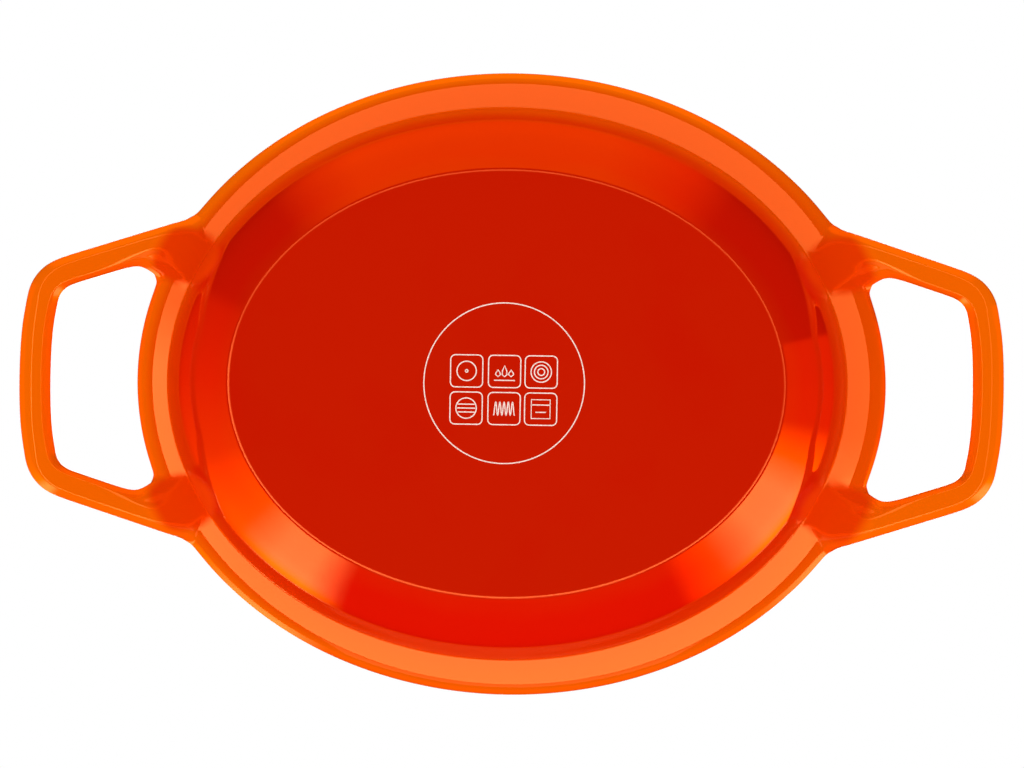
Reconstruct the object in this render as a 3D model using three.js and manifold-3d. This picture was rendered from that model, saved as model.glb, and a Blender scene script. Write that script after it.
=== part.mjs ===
// A low oval cocotte of enamelled cast iron: a pot with two cast loop handles, its lid and the lid's bolted knob.
// Millimetres, +Z up. The origin is the middle of the pot's base, and +X runs along the handles.

import * as THREE from 'three';
import { mergeVertices } from 'three/addons/utils/BufferGeometryUtils.js';
import Module from 'manifold-3d';

const wasm = await Module();
wasm.setup();

const radians = THREE.MathUtils.degToRad;

// Pot: an oval shell whose wall leans out, with a lip that stands out all round its mouth
const RIM_LENGTH = 292;
const RIM_WIDTH = 242;
const POT_HEIGHT = 62;
const POT_WALL = 4.5;
const POT_FLOOR = 5;
const WALL_DRAFT = radians(12.5);
const LIP_PROJECTION = 13.8;
const LIP_EDGE = 7.4;
const LIP_RISE = 2;
const LIP_ROUND = 3;
const LIP_FILLET = 1;
const MOUTH_ROUND = 1.2;

// Foot: the slope that leads from the flat base up into the wall
const FOOT_INSET = 25.2;
const FOOT_SLOPE = radians(42);
const FOOT_BLEND = 66;
const FOOT_EDGE = 2;
const FLOOR_CORNER = 12;

// Handles: a splayed loop at each end, cast with the lip, and a ramp that leads each arm up into it
const HANDLE_STANDOFF = 46;
const HANDLE_SPAN = 75;
const HANDLE_SPLAY = radians(17.8);
const HANDLE_BAR_WIDTH = 12.2;
const HANDLE_ARM_WIDTH = 11.4;
const HANDLE_THICKNESS = 10;
const HANDLE_DROP = 0.5;
const HANDLE_BOW = 2.4;
const HANDLE_BOW_RADIUS = 180;
const HANDLE_OUTER_CORNER = 18.5;
const HANDLE_INNER_CORNER = 8.5;
const HANDLE_EDGE = 2.6;
const HANDLE_BITE = 2.5;
const RAMP_START = 5;
const RAMP_RISE = 0.8;
const RAMP_WIDTH = 18;
const RAMP_LEAN = 5;
const RAMP_BITE = 1;
const RAMP_STEPS = 6;

// Lid: a border that lies on the lip, a shoulder and a low crown, with a skirt that finds the mouth
const LID_SETBACK = 3;
const LID_EDGE = 5.5;
const LID_EDGE_ROUND = 2.4;
const LID_WALL = 4.5;
const LID_PLAY = 1.6;
const LID_BORDER_RISE = 1.5;
const SHOULDER_RISE = 9;
const SHOULDER_RUN = 9;
const SHOULDER_ROUND = 10;
const SHOULDER_FILLET = 5;
const CROWN_RISE = 11;
const CROWN_BULGE = 1.8;
const CROWN_BLEND = 260;
const SKIRT_DEPTH = 5;
const SKIRT_WIDTH = 4.5;
const SKIRT_ROUND = 1.6;
const HUB_RADIUS = 25;
const HUB_RISE = 1.6;
const HUB_THICKNESS = 9;
const PAD_RADIUS = 11;

// Drip nubs: small domes cast in rings under the crown
const NUB_RINGS = [{ place: 0.3, count: 8 }, { place: 0.68, count: 14 }];
const NUB_RADIUS = 4;
const NUB_DROP = 4;
const NUB_BITE = 2;

// Knob: a hollow cap on a turned neck, pulled down by a screw from inside the lid
const KNOB_RADIUS = 22.5;
const KNOB_HEIGHT = 17;
const KNOB_CROWN = 3;
const KNOB_ROUND = 7;
const KNOB_SHELL = 1.6;
const NECK_HEIGHT = 13;
const NECK_FOOT_RADIUS = 11.5;
const NECK_FOOT_EDGE = 1.8;
const NECK_WAIST_RADIUS = 8.5;
const NECK_WAIST_HEIGHT = 4.4;
const NECK_FLARE = 5;
const NECK_CAP = 2.4;
const GASKET_RADIUS = 13;
const GASKET_THICKNESS = 1.5;
const NUT_RADIUS = 5.4;
const NUT_DEPTH = 11;
const NUT_COLLAR_RADIUS = 8;
const NUT_COLLAR = 2.4;
const SCREW_RADIUS = 3;
const SCREW_HEAD_RADIUS = 5.6;
const SCREW_HEAD = 3.6;
const SOCKET_RADIUS = 2.6;
const SOCKET_DEPTH = 2.2;
const WASHER_RADIUS = 8;
const WASHER_THICKNESS = 1.2;
const SPRING_RADIUS = 5.4;
const SPRING_THICKNESS = 1.6;
const SPRING_SPLIT = 1.5;

// Clearances
const SEAT_GAP = 0.3;
const STACK_GAP = 0.2;
const SCREW_PLAY = 0.4;
const THREAD_GAP = 0.2;
const SHELL_GAP = 0.2;

// Smoothness
const OVAL_SIDES = 60;
const KNOB_SIDES = 32;
const SCREW_SIDES = 24;
const NUB_SIDES = 8;
const CORNER_STEPS = 2;
const EDGE_STEPS = 1;
const BLEND_STEPS = 6;
const CORNER_SHARE = 0.98;
const MERGE_DISTANCE = 1e-4;

const ENAMEL = new THREE.MeshStandardMaterial({ color: 0xe4480f, roughness: 0.18, metalness: 0 });
const LID_ENAMEL = new THREE.MeshStandardMaterial({ color: 0xea5a10, roughness: 0.18, metalness: 0 });
const STEEL = new THREE.MeshStandardMaterial({ color: 0xc8c9c9, roughness: 0.25, metalness: 1 });
const ZINC = new THREE.MeshStandardMaterial({ color: 0xa9abad, roughness: 0.4, metalness: 1 });
const SILICONE = new THREE.MeshStandardMaterial({ color: 0x2b2a2a, roughness: 0.7, metalness: 0 });

// A corner of an outline or a turned profile, with the radius that rounds it.
function corner(x, y, radius = 0, steps = CORNER_STEPS) {
  return { point: new THREE.Vector2(x, y), radius, steps };
}

// The point where two lines cross, each given by a point and an angle.
function crossing(first, firstAngle, second, secondAngle) {
  const along = new THREE.Vector2(Math.cos(firstAngle), Math.sin(firstAngle));
  const other = new THREE.Vector2(Math.cos(secondAngle), Math.sin(secondAngle));
  const reach = second.clone().sub(first).cross(other) / along.cross(other);
  return along.multiplyScalar(reach).add(first);
}

// A point moved sideways, to the left of a direction.
function shifted(point, angle, distance) {
  const left = new THREE.Vector2(-Math.sin(angle), Math.cos(angle));
  return left.multiplyScalar(distance).add(point);
}

// The points of an outline whose corners are rounded. Where two roundings would overlap, both shrink.
function rounded(corners) {
  const count = corners.length;
  const sides = corners.map((from, i) => corners[(i + 1) % count].point.clone().sub(from.point));
  const halfTurns = corners.map((_, i) => sides[(i + count - 1) % count].angleTo(sides[i]) / 2);
  const wanted = corners.map(({ radius }, i) => radius * Math.tan(halfTurns[i]));
  const share = sides.map((side, i) => {
    const total = wanted[i] + wanted[(i + 1) % count];
    return total > 0 ? Math.min(1, (CORNER_SHARE * side.length()) / total) : 1;
  });
  return corners.flatMap(({ point, radius, steps }, i) => {
    if (radius === 0 || halfTurns[i] === 0) {
      return [point.clone()];
    }
    const previous = (i + count - 1) % count;
    const tangent = wanted[i] * Math.min(share[i], share[previous]);
    const incoming = sides[previous].clone().normalize();
    const start = point.clone().addScaledVector(incoming, -tangent);
    const turn = Math.sign(incoming.cross(sides[i]));
    const arcRadius = tangent / Math.tan(halfTurns[i]);
    const toCentre = new THREE.Vector2(-incoming.y, incoming.x).multiplyScalar(turn * arcRadius);
    const centre = start.clone().add(toCentre);
    return Array.from({ length: steps + 1 }, (_, step) => {
      const angle = (turn * 2 * halfTurns[i] * step) / steps;
      return start.clone().rotateAround(centre, angle);
    });
  });
}

// A closed triangle mesh with shared vertices, and without the flat triangles at a lathe's poles.
function closed(geometry) {
  const bare = geometry.clone();
  bare.deleteAttribute('normal');
  bare.deleteAttribute('uv');
  const merged = mergeVertices(bare, MERGE_DISTANCE);
  const corners = merged.index.array;
  const kept = [];
  for (let i = 0; i < corners.length; i += 3) {
    const [a, b, c] = [corners[i], corners[i + 1], corners[i + 2]];
    if (a !== b && b !== c && c !== a) {
      kept.push(a, b, c);
    }
  }
  merged.setIndex(kept);
  return merged;
}

function toSolid(geometry) {
  const mesh = closed(geometry);
  return new wasm.Manifold(new wasm.Mesh({
    numProp: 3,
    vertProperties: new Float32Array(mesh.attributes.position.array),
    triVerts: new Uint32Array(mesh.index.array),
  }));
}

function toGeometry(solid) {
  const mesh = solid.getMesh();
  const geometry = new THREE.BufferGeometry();
  geometry.setAttribute('position', new THREE.BufferAttribute(mesh.vertProperties, mesh.numProp));
  geometry.setIndex(new THREE.BufferAttribute(mesh.triVerts, 1));
  return geometry;
}

// A profile of radius and height, turned about +Z. It runs anticlockwise, from the axis to the axis.
function turned(profile, sides) {
  return closed(new THREE.LatheGeometry(profile, sides).rotateX(Math.PI / 2));
}

// The same for a profile that stays off the axis and closes on itself.
function turnedRing(profile, sides) {
  return turned([...profile, profile[0].clone()], sides);
}

function ring(inner, outer, bottom, top, sides) {
  const section = [corner(inner, bottom), corner(outer, bottom), corner(outer, top), corner(inner, top)];
  return turnedRing(rounded(section), sides);
}

// Ovals are turned round and then drawn out along X: the stretch grows from none at the round radius
// to its full length at the full radius, so that everything further out is an even band.
const OVAL_STRETCH = (RIM_LENGTH - RIM_WIDTH) / 2;

function stretchAt(radius, roundRadius, fullRadius) {
  const share = (radius - roundRadius) / (fullRadius - roundRadius);
  return OVAL_STRETCH * THREE.MathUtils.clamp(share, 0, 1);
}

function drawnOut(geometry, roundRadius, fullRadius) {
  const position = geometry.attributes.position;
  for (let i = 0; i < position.count; i += 1) {
    const radius = Math.hypot(position.getX(i), position.getY(i));
    if (radius > 0) {
      const stretch = stretchAt(radius, roundRadius, fullRadius);
      position.setX(i, position.getX(i) * (1 + stretch / radius));
    }
  }
  return geometry;
}

function piece(name, geometry, material) {
  const mesh = new THREE.Mesh(geometry, material);
  mesh.name = name;
  return mesh;
}

// Pot shell. Radii are those of the oval's narrow half.
const rimRadius = RIM_WIDTH / 2;
const lipRoot = POT_HEIGHT - LIP_EDGE - LIP_RISE;
const wallAngle = Math.PI / 2 - WALL_DRAFT;
const wallTop = new THREE.Vector2(rimRadius - LIP_PROJECTION, lipRoot);
const foot = new THREE.Vector2(wallTop.x - FOOT_INSET, 0);
const knee = crossing(foot, FOOT_SLOPE, wallTop, wallAngle);
const innerWall = shifted(wallTop, wallAngle, POT_WALL);
const innerFoot = shifted(foot, FOOT_SLOPE, POT_WALL);
const innerKnee = crossing(innerFoot, FOOT_SLOPE, innerWall, wallAngle);
const floorCorner = crossing(innerFoot, FOOT_SLOPE, new THREE.Vector2(0, POT_FLOOR), 0);
const mouth = crossing(innerWall, wallAngle, new THREE.Vector2(0, POT_HEIGHT), 0);

function potShell() {
  const profile = rounded([
    corner(0, 0),
    corner(foot.x, foot.y, FOOT_EDGE, EDGE_STEPS),
    corner(knee.x, knee.y, FOOT_BLEND, BLEND_STEPS),
    corner(wallTop.x, wallTop.y, LIP_FILLET),
    corner(rimRadius, lipRoot + LIP_RISE, LIP_ROUND),
    corner(rimRadius, POT_HEIGHT, LIP_ROUND),
    corner(mouth.x, POT_HEIGHT, MOUTH_ROUND, EDGE_STEPS),
    corner(innerKnee.x, innerKnee.y, FOOT_BLEND - POT_WALL, BLEND_STEPS),
    corner(floorCorner.x, floorCorner.y, FLOOR_CORNER),
    corner(0, POT_FLOOR),
  ]);
  return drawnOut(turned(profile, OVAL_SIDES), 0, foot.x);
}

// Handle loop. Its plan is drawn for the +X end, and the other end is the same turned half round.
const handleTop = POT_HEIGHT - HANDLE_DROP;
const handleBottom = handleTop - HANDLE_THICKNESS;
const barOutside = RIM_LENGTH / 2 + HANDLE_STANDOFF;
const barMiddle = barOutside - HANDLE_BAR_WIDTH / 2;
const barInside = barOutside - HANDLE_BAR_WIDTH;
const armStart = new THREE.Vector2(barMiddle, HANDLE_SPAN / 2);
const armAngle = Math.PI - HANDLE_SPLAY;
const armOuterLine = shifted(armStart, armAngle, -HANDLE_ARM_WIDTH / 2);
const armInnerLine = shifted(armStart, armAngle, HANDLE_ARM_WIDTH / 2);

// The point on a line where it meets the lip's edge, or a parallel oval that lies further in.
function meetsRim(start, angle, inset) {
  const along = new THREE.Vector2(Math.cos(angle), Math.sin(angle));
  const scale = new THREE.Vector2(1 / (RIM_LENGTH / 2 - inset), 1 / (rimRadius - inset));
  const from = start.clone().multiply(scale);
  const step = along.clone().multiply(scale);
  const half = from.dot(step);
  const inside = half * half - step.lengthSq() * (from.lengthSq() - 1);
  const reach = (-half - Math.sqrt(inside)) / step.lengthSq();
  return along.multiplyScalar(reach).add(start);
}

function handleLoop() {
  const barEnd = new THREE.Vector2(barOutside - HANDLE_BOW, 0);
  const gapEnd = new THREE.Vector2(barInside - HANDLE_BOW, 0);
  const outerCorner = crossing(armOuterLine, armAngle, barEnd, Math.PI / 2);
  const innerCorner = crossing(armInnerLine, armAngle, gapEnd, Math.PI / 2);
  const outerRoot = meetsRim(armOuterLine, armAngle, HANDLE_BITE);
  const innerRoot = meetsRim(armInnerLine, armAngle, HANDLE_BITE);
  const upperHalf = [
    corner(outerCorner.x, outerCorner.y, HANDLE_OUTER_CORNER, BLEND_STEPS),
    corner(outerRoot.x, outerRoot.y),
    corner(innerRoot.x, innerRoot.y),
    corner(innerCorner.x, innerCorner.y, HANDLE_INNER_CORNER, BLEND_STEPS),
  ];
  const lowerHalf = upperHalf.map(({ point, radius, steps }) => corner(point.x, -point.y, radius, steps));
  const plan = rounded([
    corner(barOutside, 0, HANDLE_BOW_RADIUS),
    ...upperHalf,
    corner(barInside, 0, HANDLE_BOW_RADIUS),
    ...lowerHalf.reverse(),
  ]);
  const loop = new THREE.ExtrudeGeometry(new THREE.Shape(plan), {
    depth: HANDLE_THICKNESS - 2 * HANDLE_EDGE,
    bevelThickness: HANDLE_EDGE,
    bevelSize: HANDLE_EDGE,
    bevelOffset: -HANDLE_EDGE,
    bevelSegments: 2,
  });
  return loop.translate(0, 0, handleBottom + HANDLE_EDGE);
}

// Ramp under a handle's arm: it leaves the arm just outside the lip and rises to the lip's root at the
// wall. It is where a plan, from the arm's width to the wall, and a side profile overlap.
function handleRamp(side) {
  const root = meetsRim(armStart, armAngle, 0);
  const inward = new THREE.Vector2(root.x / RIM_LENGTH ** 2, root.y / RIM_WIDTH ** 2).normalize().negate();
  const sideways = new THREE.Vector2(-inward.y, inward.x);
  const bottom = handleBottom + RAMP_RISE;
  const top = lipRoot + LIP_RISE;
  const wallInset = LIP_PROJECTION + (lipRoot - bottom) * Math.tan(WALL_DRAFT);
  const contact = root.clone().addScaledVector(inward, wallInset + RAMP_BITE);
  contact.addScaledVector(sideways, RAMP_LEAN);
  const plan = [
    meetsRim(armOuterLine, armAngle, -RAMP_START),
    contact.clone().addScaledVector(sideways, -RAMP_WIDTH / 2),
    contact.clone().addScaledVector(sideways, RAMP_WIDTH / 2),
    meetsRim(armInnerLine, armAngle, -RAMP_START),
  ];
  const outline = new THREE.Shape(plan.map((point) => new THREE.Vector2(point.x, side * point.y)));
  const block = new THREE.ExtrudeGeometry(outline, { depth: top - handleBottom, bevelEnabled: false });
  block.translate(0, 0, handleBottom);

  const reach = wallInset + HANDLE_STANDOFF;
  const profile = new THREE.Shape();
  profile.moveTo(-HANDLE_STANDOFF, handleBottom);
  profile.lineTo(-RAMP_START, handleBottom);
  profile.quadraticCurveTo(wallInset / 2, handleBottom, wallInset, bottom);
  profile.lineTo(reach, bottom);
  profile.lineTo(reach, top);
  profile.lineTo(-HANDLE_STANDOFF, top);
  const slope = new THREE.ExtrudeGeometry(profile, {
    depth: 2 * HANDLE_SPAN,
    bevelEnabled: false,
    curveSegments: RAMP_STEPS,
  });
  slope.translate(0, 0, -HANDLE_SPAN);
  const along = new THREE.Vector3(inward.x, side * inward.y, 0);
  const up = new THREE.Vector3(0, 0, 1);
  const place = new THREE.Matrix4().makeBasis(along, up, along.clone().cross(up));
  place.setPosition(root.x, side * root.y, 0);
  return toGeometry(toSolid(block).intersect(toSolid(slope.applyMatrix4(place))));
}

function potBody() {
  const handle = [handleLoop(), handleRamp(1), handleRamp(-1)];
  const otherHandle = handle.map((part) => part.clone().rotateZ(Math.PI));
  const joined = [...handle, ...otherHandle].reduce(
    (solid, part) => solid.add(toSolid(part)),
    toSolid(potShell()),
  );
  return toGeometry(joined);
}

// Lid. Its own zero height is the plane that it rests on.
const lidEdge = rimRadius - LID_SETBACK;
const skirtOuter = mouth.x - SKIRT_DEPTH * Math.tan(WALL_DRAFT) - LID_PLAY;
const skirtInner = skirtOuter - SKIRT_WIDTH;
const shoulderFoot = new THREE.Vector2(skirtOuter + LID_WALL, LID_EDGE + LID_BORDER_RISE);
const shoulderTop = new THREE.Vector2(shoulderFoot.x - SHOULDER_RUN, shoulderFoot.y + SHOULDER_RISE);
const hubEdge = new THREE.Vector2(HUB_RADIUS + HUB_RISE, shoulderTop.y + CROWN_RISE);
const hubTop = hubEdge.y + HUB_RISE;
const padHeight = hubTop - HUB_THICKNESS;
const crownMiddle = shoulderTop.clone().lerp(hubEdge, 0.5).add(new THREE.Vector2(0, CROWN_BULGE));
const screwHole = SCREW_RADIUS + SCREW_PLAY;

function lidProfile() {
  const under = (point) => point.y - LID_WALL;
  return rounded([
    corner(screwHole, padHeight),
    corner(PAD_RADIUS, padHeight),
    corner(HUB_RADIUS, under(hubEdge)),
    corner(crownMiddle.x, under(crownMiddle), CROWN_BLEND),
    corner(skirtInner, under(shoulderTop), SHOULDER_FILLET),
    corner(skirtInner, -SKIRT_DEPTH, SKIRT_ROUND, EDGE_STEPS),
    corner(skirtOuter, -SKIRT_DEPTH, SKIRT_ROUND, EDGE_STEPS),
    corner(skirtOuter, 0),
    corner(lidEdge, 0),
    corner(lidEdge, LID_EDGE, LID_EDGE_ROUND),
    corner(shoulderFoot.x, shoulderFoot.y, SHOULDER_FILLET),
    corner(shoulderTop.x, shoulderTop.y, SHOULDER_ROUND),
    corner(crownMiddle.x, crownMiddle.y, CROWN_BLEND),
    corner(hubEdge.x, hubEdge.y),
    corner(HUB_RADIUS, hubTop),
    corner(screwHole, hubTop),
  ]);
}

function dripNub() {
  const profile = rounded([
    corner(0, -NUB_DROP),
    corner(NUB_RADIUS / 2, -NUB_DROP, NUB_RADIUS / 2),
    corner(NUB_RADIUS, 0),
    corner(NUB_RADIUS, NUB_BITE),
    corner(0, NUB_BITE),
  ]);
  return turned(profile, NUB_SIDES);
}

// Each ring's place is its share of the way from the hub out to the skirt.
function dripNubs() {
  const hubUnder = hubEdge.y - LID_WALL;
  return NUB_RINGS.flatMap(({ place, count }) => {
    const radius = THREE.MathUtils.lerp(HUB_RADIUS, skirtInner, place);
    const height = THREE.MathUtils.lerp(hubUnder, shoulderTop.y - LID_WALL, place);
    const bulge = CROWN_BULGE * (1 - Math.abs(2 * place - 1));
    const stretch = stretchAt(radius, hubEdge.x, shoulderTop.x);
    return Array.from({ length: count }, (_, i) => {
      const angle = (2 * Math.PI * (i + 0.5)) / count;
      const x = (radius + stretch) * Math.cos(angle);
      return dripNub().translate(x, radius * Math.sin(angle), height + bulge);
    });
  });
}

function lidBody() {
  const shell = drawnOut(turnedRing(lidProfile(), OVAL_SIDES), hubEdge.x, shoulderTop.x);
  const joined = dripNubs().reduce((solid, nub) => solid.add(toSolid(nub)), toSolid(shell));
  return toGeometry(joined);
}

// Knob. Its own zero height is the top of the lid's hub.
const gasketTop = STACK_GAP + GASKET_THICKNESS;
const neckBottom = gasketTop + STACK_GAP;
const neckTop = neckBottom + NECK_HEIGHT;
const capRadius = KNOB_RADIUS - KNOB_SHELL - SHELL_GAP;
const nutHole = NUT_RADIUS + STACK_GAP;
const nutBottom = neckTop + STACK_GAP - NUT_DEPTH;
const nutTop = neckTop + STACK_GAP + NUT_COLLAR;
const threadRadius = SCREW_RADIUS + THREAD_GAP;

function knobGasket() {
  return ring(screwHole, GASKET_RADIUS, STACK_GAP, gasketTop, KNOB_SIDES);
}

function knobNeck() {
  const capBottom = neckTop - NECK_CAP;
  const profile = rounded([
    corner(screwHole, neckBottom),
    corner(NECK_FOOT_RADIUS, neckBottom),
    corner(NECK_FOOT_RADIUS, neckBottom + NECK_FOOT_EDGE),
    corner(NECK_WAIST_RADIUS, neckBottom + NECK_WAIST_HEIGHT, NECK_FLARE),
    corner(NECK_WAIST_RADIUS, capBottom, NECK_FLARE),
    corner(capRadius, capBottom),
    corner(capRadius, neckTop),
    corner(nutHole, neckTop),
    corner(nutHole, nutBottom - STACK_GAP),
    corner(screwHole, nutBottom - STACK_GAP),
  ]);
  return turnedRing(profile, KNOB_SIDES);
}

function knobShell() {
  const bottom = neckTop - NECK_CAP;
  const shoulder = bottom + KNOB_HEIGHT - KNOB_CROWN;
  const inside = KNOB_RADIUS - KNOB_SHELL;
  const profile = rounded([
    corner(inside, bottom),
    corner(KNOB_RADIUS, bottom),
    corner(KNOB_RADIUS, shoulder, KNOB_ROUND, BLEND_STEPS),
    corner(KNOB_RADIUS / 2, bottom + KNOB_HEIGHT, KNOB_RADIUS),
    corner(0, bottom + KNOB_HEIGHT),
    corner(0, bottom + KNOB_HEIGHT - KNOB_SHELL),
    corner(inside / 2, bottom + KNOB_HEIGHT - KNOB_SHELL, KNOB_RADIUS),
    corner(inside, shoulder - KNOB_SHELL, KNOB_ROUND - KNOB_SHELL),
  ]);
  const start = profile.findIndex((point) => point.x === 0);
  return turned([...profile.slice(start + 1), ...profile.slice(0, start + 1)], KNOB_SIDES);
}

function knobNut() {
  const profile = rounded([
    corner(threadRadius, nutBottom),
    corner(NUT_RADIUS, nutBottom),
    corner(NUT_RADIUS, neckTop + STACK_GAP),
    corner(NUT_COLLAR_RADIUS, neckTop + STACK_GAP),
    corner(NUT_COLLAR_RADIUS, nutTop),
    corner(threadRadius, nutTop),
  ]);
  return turnedRing(profile, SCREW_SIDES);
}

// Screw and washers, stacked under the lid's pad. Their heights are the knob's, so the pad lies below zero.
const padUnder = -HUB_THICKNESS;
const washerTop = padUnder - STACK_GAP;
const springTop = washerTop - WASHER_THICKNESS - STACK_GAP;
const headTop = springTop - SPRING_THICKNESS - STACK_GAP;

function flatWasher() {
  return ring(screwHole, WASHER_RADIUS, washerTop - WASHER_THICKNESS, washerTop, SCREW_SIDES);
}

function springWasher() {
  const split = SPRING_SPLIT / SPRING_RADIUS / 2;
  const outline = new THREE.Shape();
  outline.absarc(0, 0, SPRING_RADIUS, split, 2 * Math.PI - split, false);
  outline.absarc(0, 0, screwHole, 2 * Math.PI - split, split, true);
  const washer = new THREE.ExtrudeGeometry(outline, {
    depth: SPRING_THICKNESS,
    bevelEnabled: false,
    curveSegments: SCREW_SIDES,
  });
  return closed(washer.translate(0, 0, springTop - SPRING_THICKNESS));
}

function knobScrew() {
  const profile = rounded([
    corner(0, headTop - SCREW_HEAD),
    corner(SCREW_HEAD_RADIUS, headTop - SCREW_HEAD, SCREW_HEAD / 2),
    corner(SCREW_HEAD_RADIUS, headTop),
    corner(SCREW_RADIUS, headTop),
    corner(SCREW_RADIUS, nutTop),
    corner(0, nutTop),
  ]);
  const socket = new THREE.CylinderGeometry(SOCKET_RADIUS, SOCKET_RADIUS, 2 * SOCKET_DEPTH, 6);
  socket.rotateX(Math.PI / 2).translate(0, 0, headTop - SCREW_HEAD);
  return toGeometry(toSolid(turned(profile, SCREW_SIDES)).subtract(toSolid(socket)));
}

const knob = new THREE.Group();
knob.position.z = hubTop;
knob.add(
  piece('knob_gasket', knobGasket(), SILICONE),
  piece('knob_neck', knobNeck(), STEEL),
  piece('knob_shell', knobShell(), STEEL),
  piece('knob_nut', knobNut(), ZINC),
  piece('knob_screw', knobScrew(), STEEL),
  piece('flat_washer', flatWasher(), STEEL),
  piece('spring_washer', springWasher(), ZINC),
);

const lid = new THREE.Group();
lid.position.z = POT_HEIGHT + SEAT_GAP;
lid.add(piece('lid', lidBody(), LID_ENAMEL), knob);

const cocotte = new THREE.Group();
cocotte.add(piece('pot_body', potBody(), ENAMEL), lid);

export default cocotte;
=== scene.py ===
# %% [markdown]
# # A low oval cast iron cocotte in graded enamel
# The photograph looks straight up at the pot: its flat base, the foot and wall above it, the lip that
# stands out all round, and a loop handle at each end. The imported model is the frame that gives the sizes,
# and this script dresses it. Lengths are metres, +Z is up and the handles lie along X, as in the frame.

# %% Load the frame
from math import cos, pi, radians, sin, tan

import bmesh
import bpy
from mathutils import Matrix, Vector


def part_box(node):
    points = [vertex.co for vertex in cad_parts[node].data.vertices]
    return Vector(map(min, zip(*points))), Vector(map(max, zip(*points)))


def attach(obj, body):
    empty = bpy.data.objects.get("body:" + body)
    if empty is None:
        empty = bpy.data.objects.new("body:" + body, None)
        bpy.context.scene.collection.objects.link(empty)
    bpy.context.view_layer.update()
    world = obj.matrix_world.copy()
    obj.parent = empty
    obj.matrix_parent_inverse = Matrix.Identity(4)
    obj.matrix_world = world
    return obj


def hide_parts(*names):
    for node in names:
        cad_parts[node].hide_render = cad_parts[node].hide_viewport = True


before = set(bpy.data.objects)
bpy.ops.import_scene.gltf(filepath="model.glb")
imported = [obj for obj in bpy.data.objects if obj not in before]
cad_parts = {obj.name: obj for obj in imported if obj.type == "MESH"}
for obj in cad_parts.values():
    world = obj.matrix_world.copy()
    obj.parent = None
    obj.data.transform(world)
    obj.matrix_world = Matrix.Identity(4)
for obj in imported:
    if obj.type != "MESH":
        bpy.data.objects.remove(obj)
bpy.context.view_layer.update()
pot_low, pot_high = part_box("pot_body")
lid_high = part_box("lid")[1]
scene = bpy.context.scene
scene.view_settings.view_transform = "Standard"
print("pot", tuple(pot_low), tuple(pot_high))

# %% [markdown]
# ## Camera
# The pot is seen from below, so the camera hangs under the floor and looks up. Base and lip are drawn
# out by nearly the same length in the picture, so the base is hardly enlarged and the camera is far away.

# %% Camera below the pot
IMAGE_WIDTH = 1024
LIP_MIDDLE = 0.0585
LIP_DISTANCE = 3.2
PIXEL_AT_LIP = 0.3892e-3
CAMERA_SIDEWAYS = Vector((0.0165, 0.002, 0.0))
CAMERA_ROLL = radians(0.9)

lens = bpy.data.cameras.new("from_below")
lens.sensor_width = 36.0
lens.lens = lens.sensor_width * LIP_DISTANCE / (IMAGE_WIDTH * PIXEL_AT_LIP)
target = Vector((0.0002, 0.0, LIP_MIDDLE))
eye = target + CAMERA_SIDEWAYS - Vector((0.0, 0.0, LIP_DISTANCE))
ahead = (target - eye).normalized()
level = ahead.cross(Vector((0.0, -1.0, 0.0))).normalized()
upright = level.cross(ahead)
right = level * cos(CAMERA_ROLL) + upright * sin(CAMERA_ROLL)
up = upright * cos(CAMERA_ROLL) - level * sin(CAMERA_ROLL)
camera = bpy.data.objects.new("camera", lens)
camera.matrix_world = Matrix.Translation(eye) @ Matrix((right, up, -ahead)).transposed().to_4x4()
scene.collection.objects.link(camera)
scene.camera = camera
print("camera", tuple(eye), "focal length", lens.lens)

# %% [markdown]
# ## Sizes of the pot
# The pot's plan is an oval: a circle drawn out along X by the same length everywhere outside its foot, so
# that the wall and the lip are even bands. Radii are those of the oval's narrow half. The box of the CAD
# pot gives its width, its height and the reach of the handles, and the rest follows from the wall's shape.

# %% Sizes of the pot
HANDLE_STANDOFF = 0.046
LIP_PROJECTION = 0.0138
LIP_EDGE = 0.0074
LIP_RISE = 0.002
LIP_UNDER_ROUND = 0.0048
LIP_TOP_ROUND = 0.0022
LIP_FILLET = 0.0006
LIP_END_FULLNESS = 0.002
WALL_DRAFT = radians(12.5)
WALL_THICKNESS = 0.0045
FLOOR_THICKNESS = 0.005
FOOT_INSET = 0.0252
FOOT_SLOPE = radians(42)
FOOT_BLEND = 0.066
INNER_BLEND = 0.042
FOOT_EDGE = 0.0016
FLOOR_CORNER = 0.0115
MOUTH_ROUND = 0.0014

pot_height = pot_high.z
rim_radius = pot_high.y
rim_length = pot_high.x - HANDLE_STANDOFF
oval_stretch = rim_length - rim_radius
lip_root = pot_height - LIP_EDGE - LIP_RISE
wall_angle = pi / 2 - WALL_DRAFT


def crossing(first, first_angle, second, second_angle):
    """The point where two lines cross, each given by a point and an angle."""
    along = Vector((cos(first_angle), sin(first_angle)))
    other = Vector((cos(second_angle), sin(second_angle)))
    gap = second - first
    reach = (gap.x * other.y - gap.y * other.x) / (along.x * other.y - along.y * other.x)
    return first + along * reach


def beside(point, angle, distance):
    """A point moved to the left of a direction."""
    return point + Vector((-sin(angle), cos(angle))) * distance


wall_top = Vector((rim_radius - LIP_PROJECTION, lip_root))
foot = Vector((wall_top.x - FOOT_INSET, 0.0))
knee = crossing(foot, FOOT_SLOPE, wall_top, wall_angle)
inner_wall = beside(wall_top, wall_angle, WALL_THICKNESS)
inner_foot = beside(foot, FOOT_SLOPE, WALL_THICKNESS)
inner_knee = crossing(inner_foot, FOOT_SLOPE, inner_wall, wall_angle)
floor_corner = crossing(inner_foot, FOOT_SLOPE, Vector((0.0, FLOOR_THICKNESS)), 0.0)
mouth = crossing(inner_wall, wall_angle, Vector((0.0, pot_height)), 0.0)
print("foot", tuple(foot), "mouth", tuple(mouth))

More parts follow.
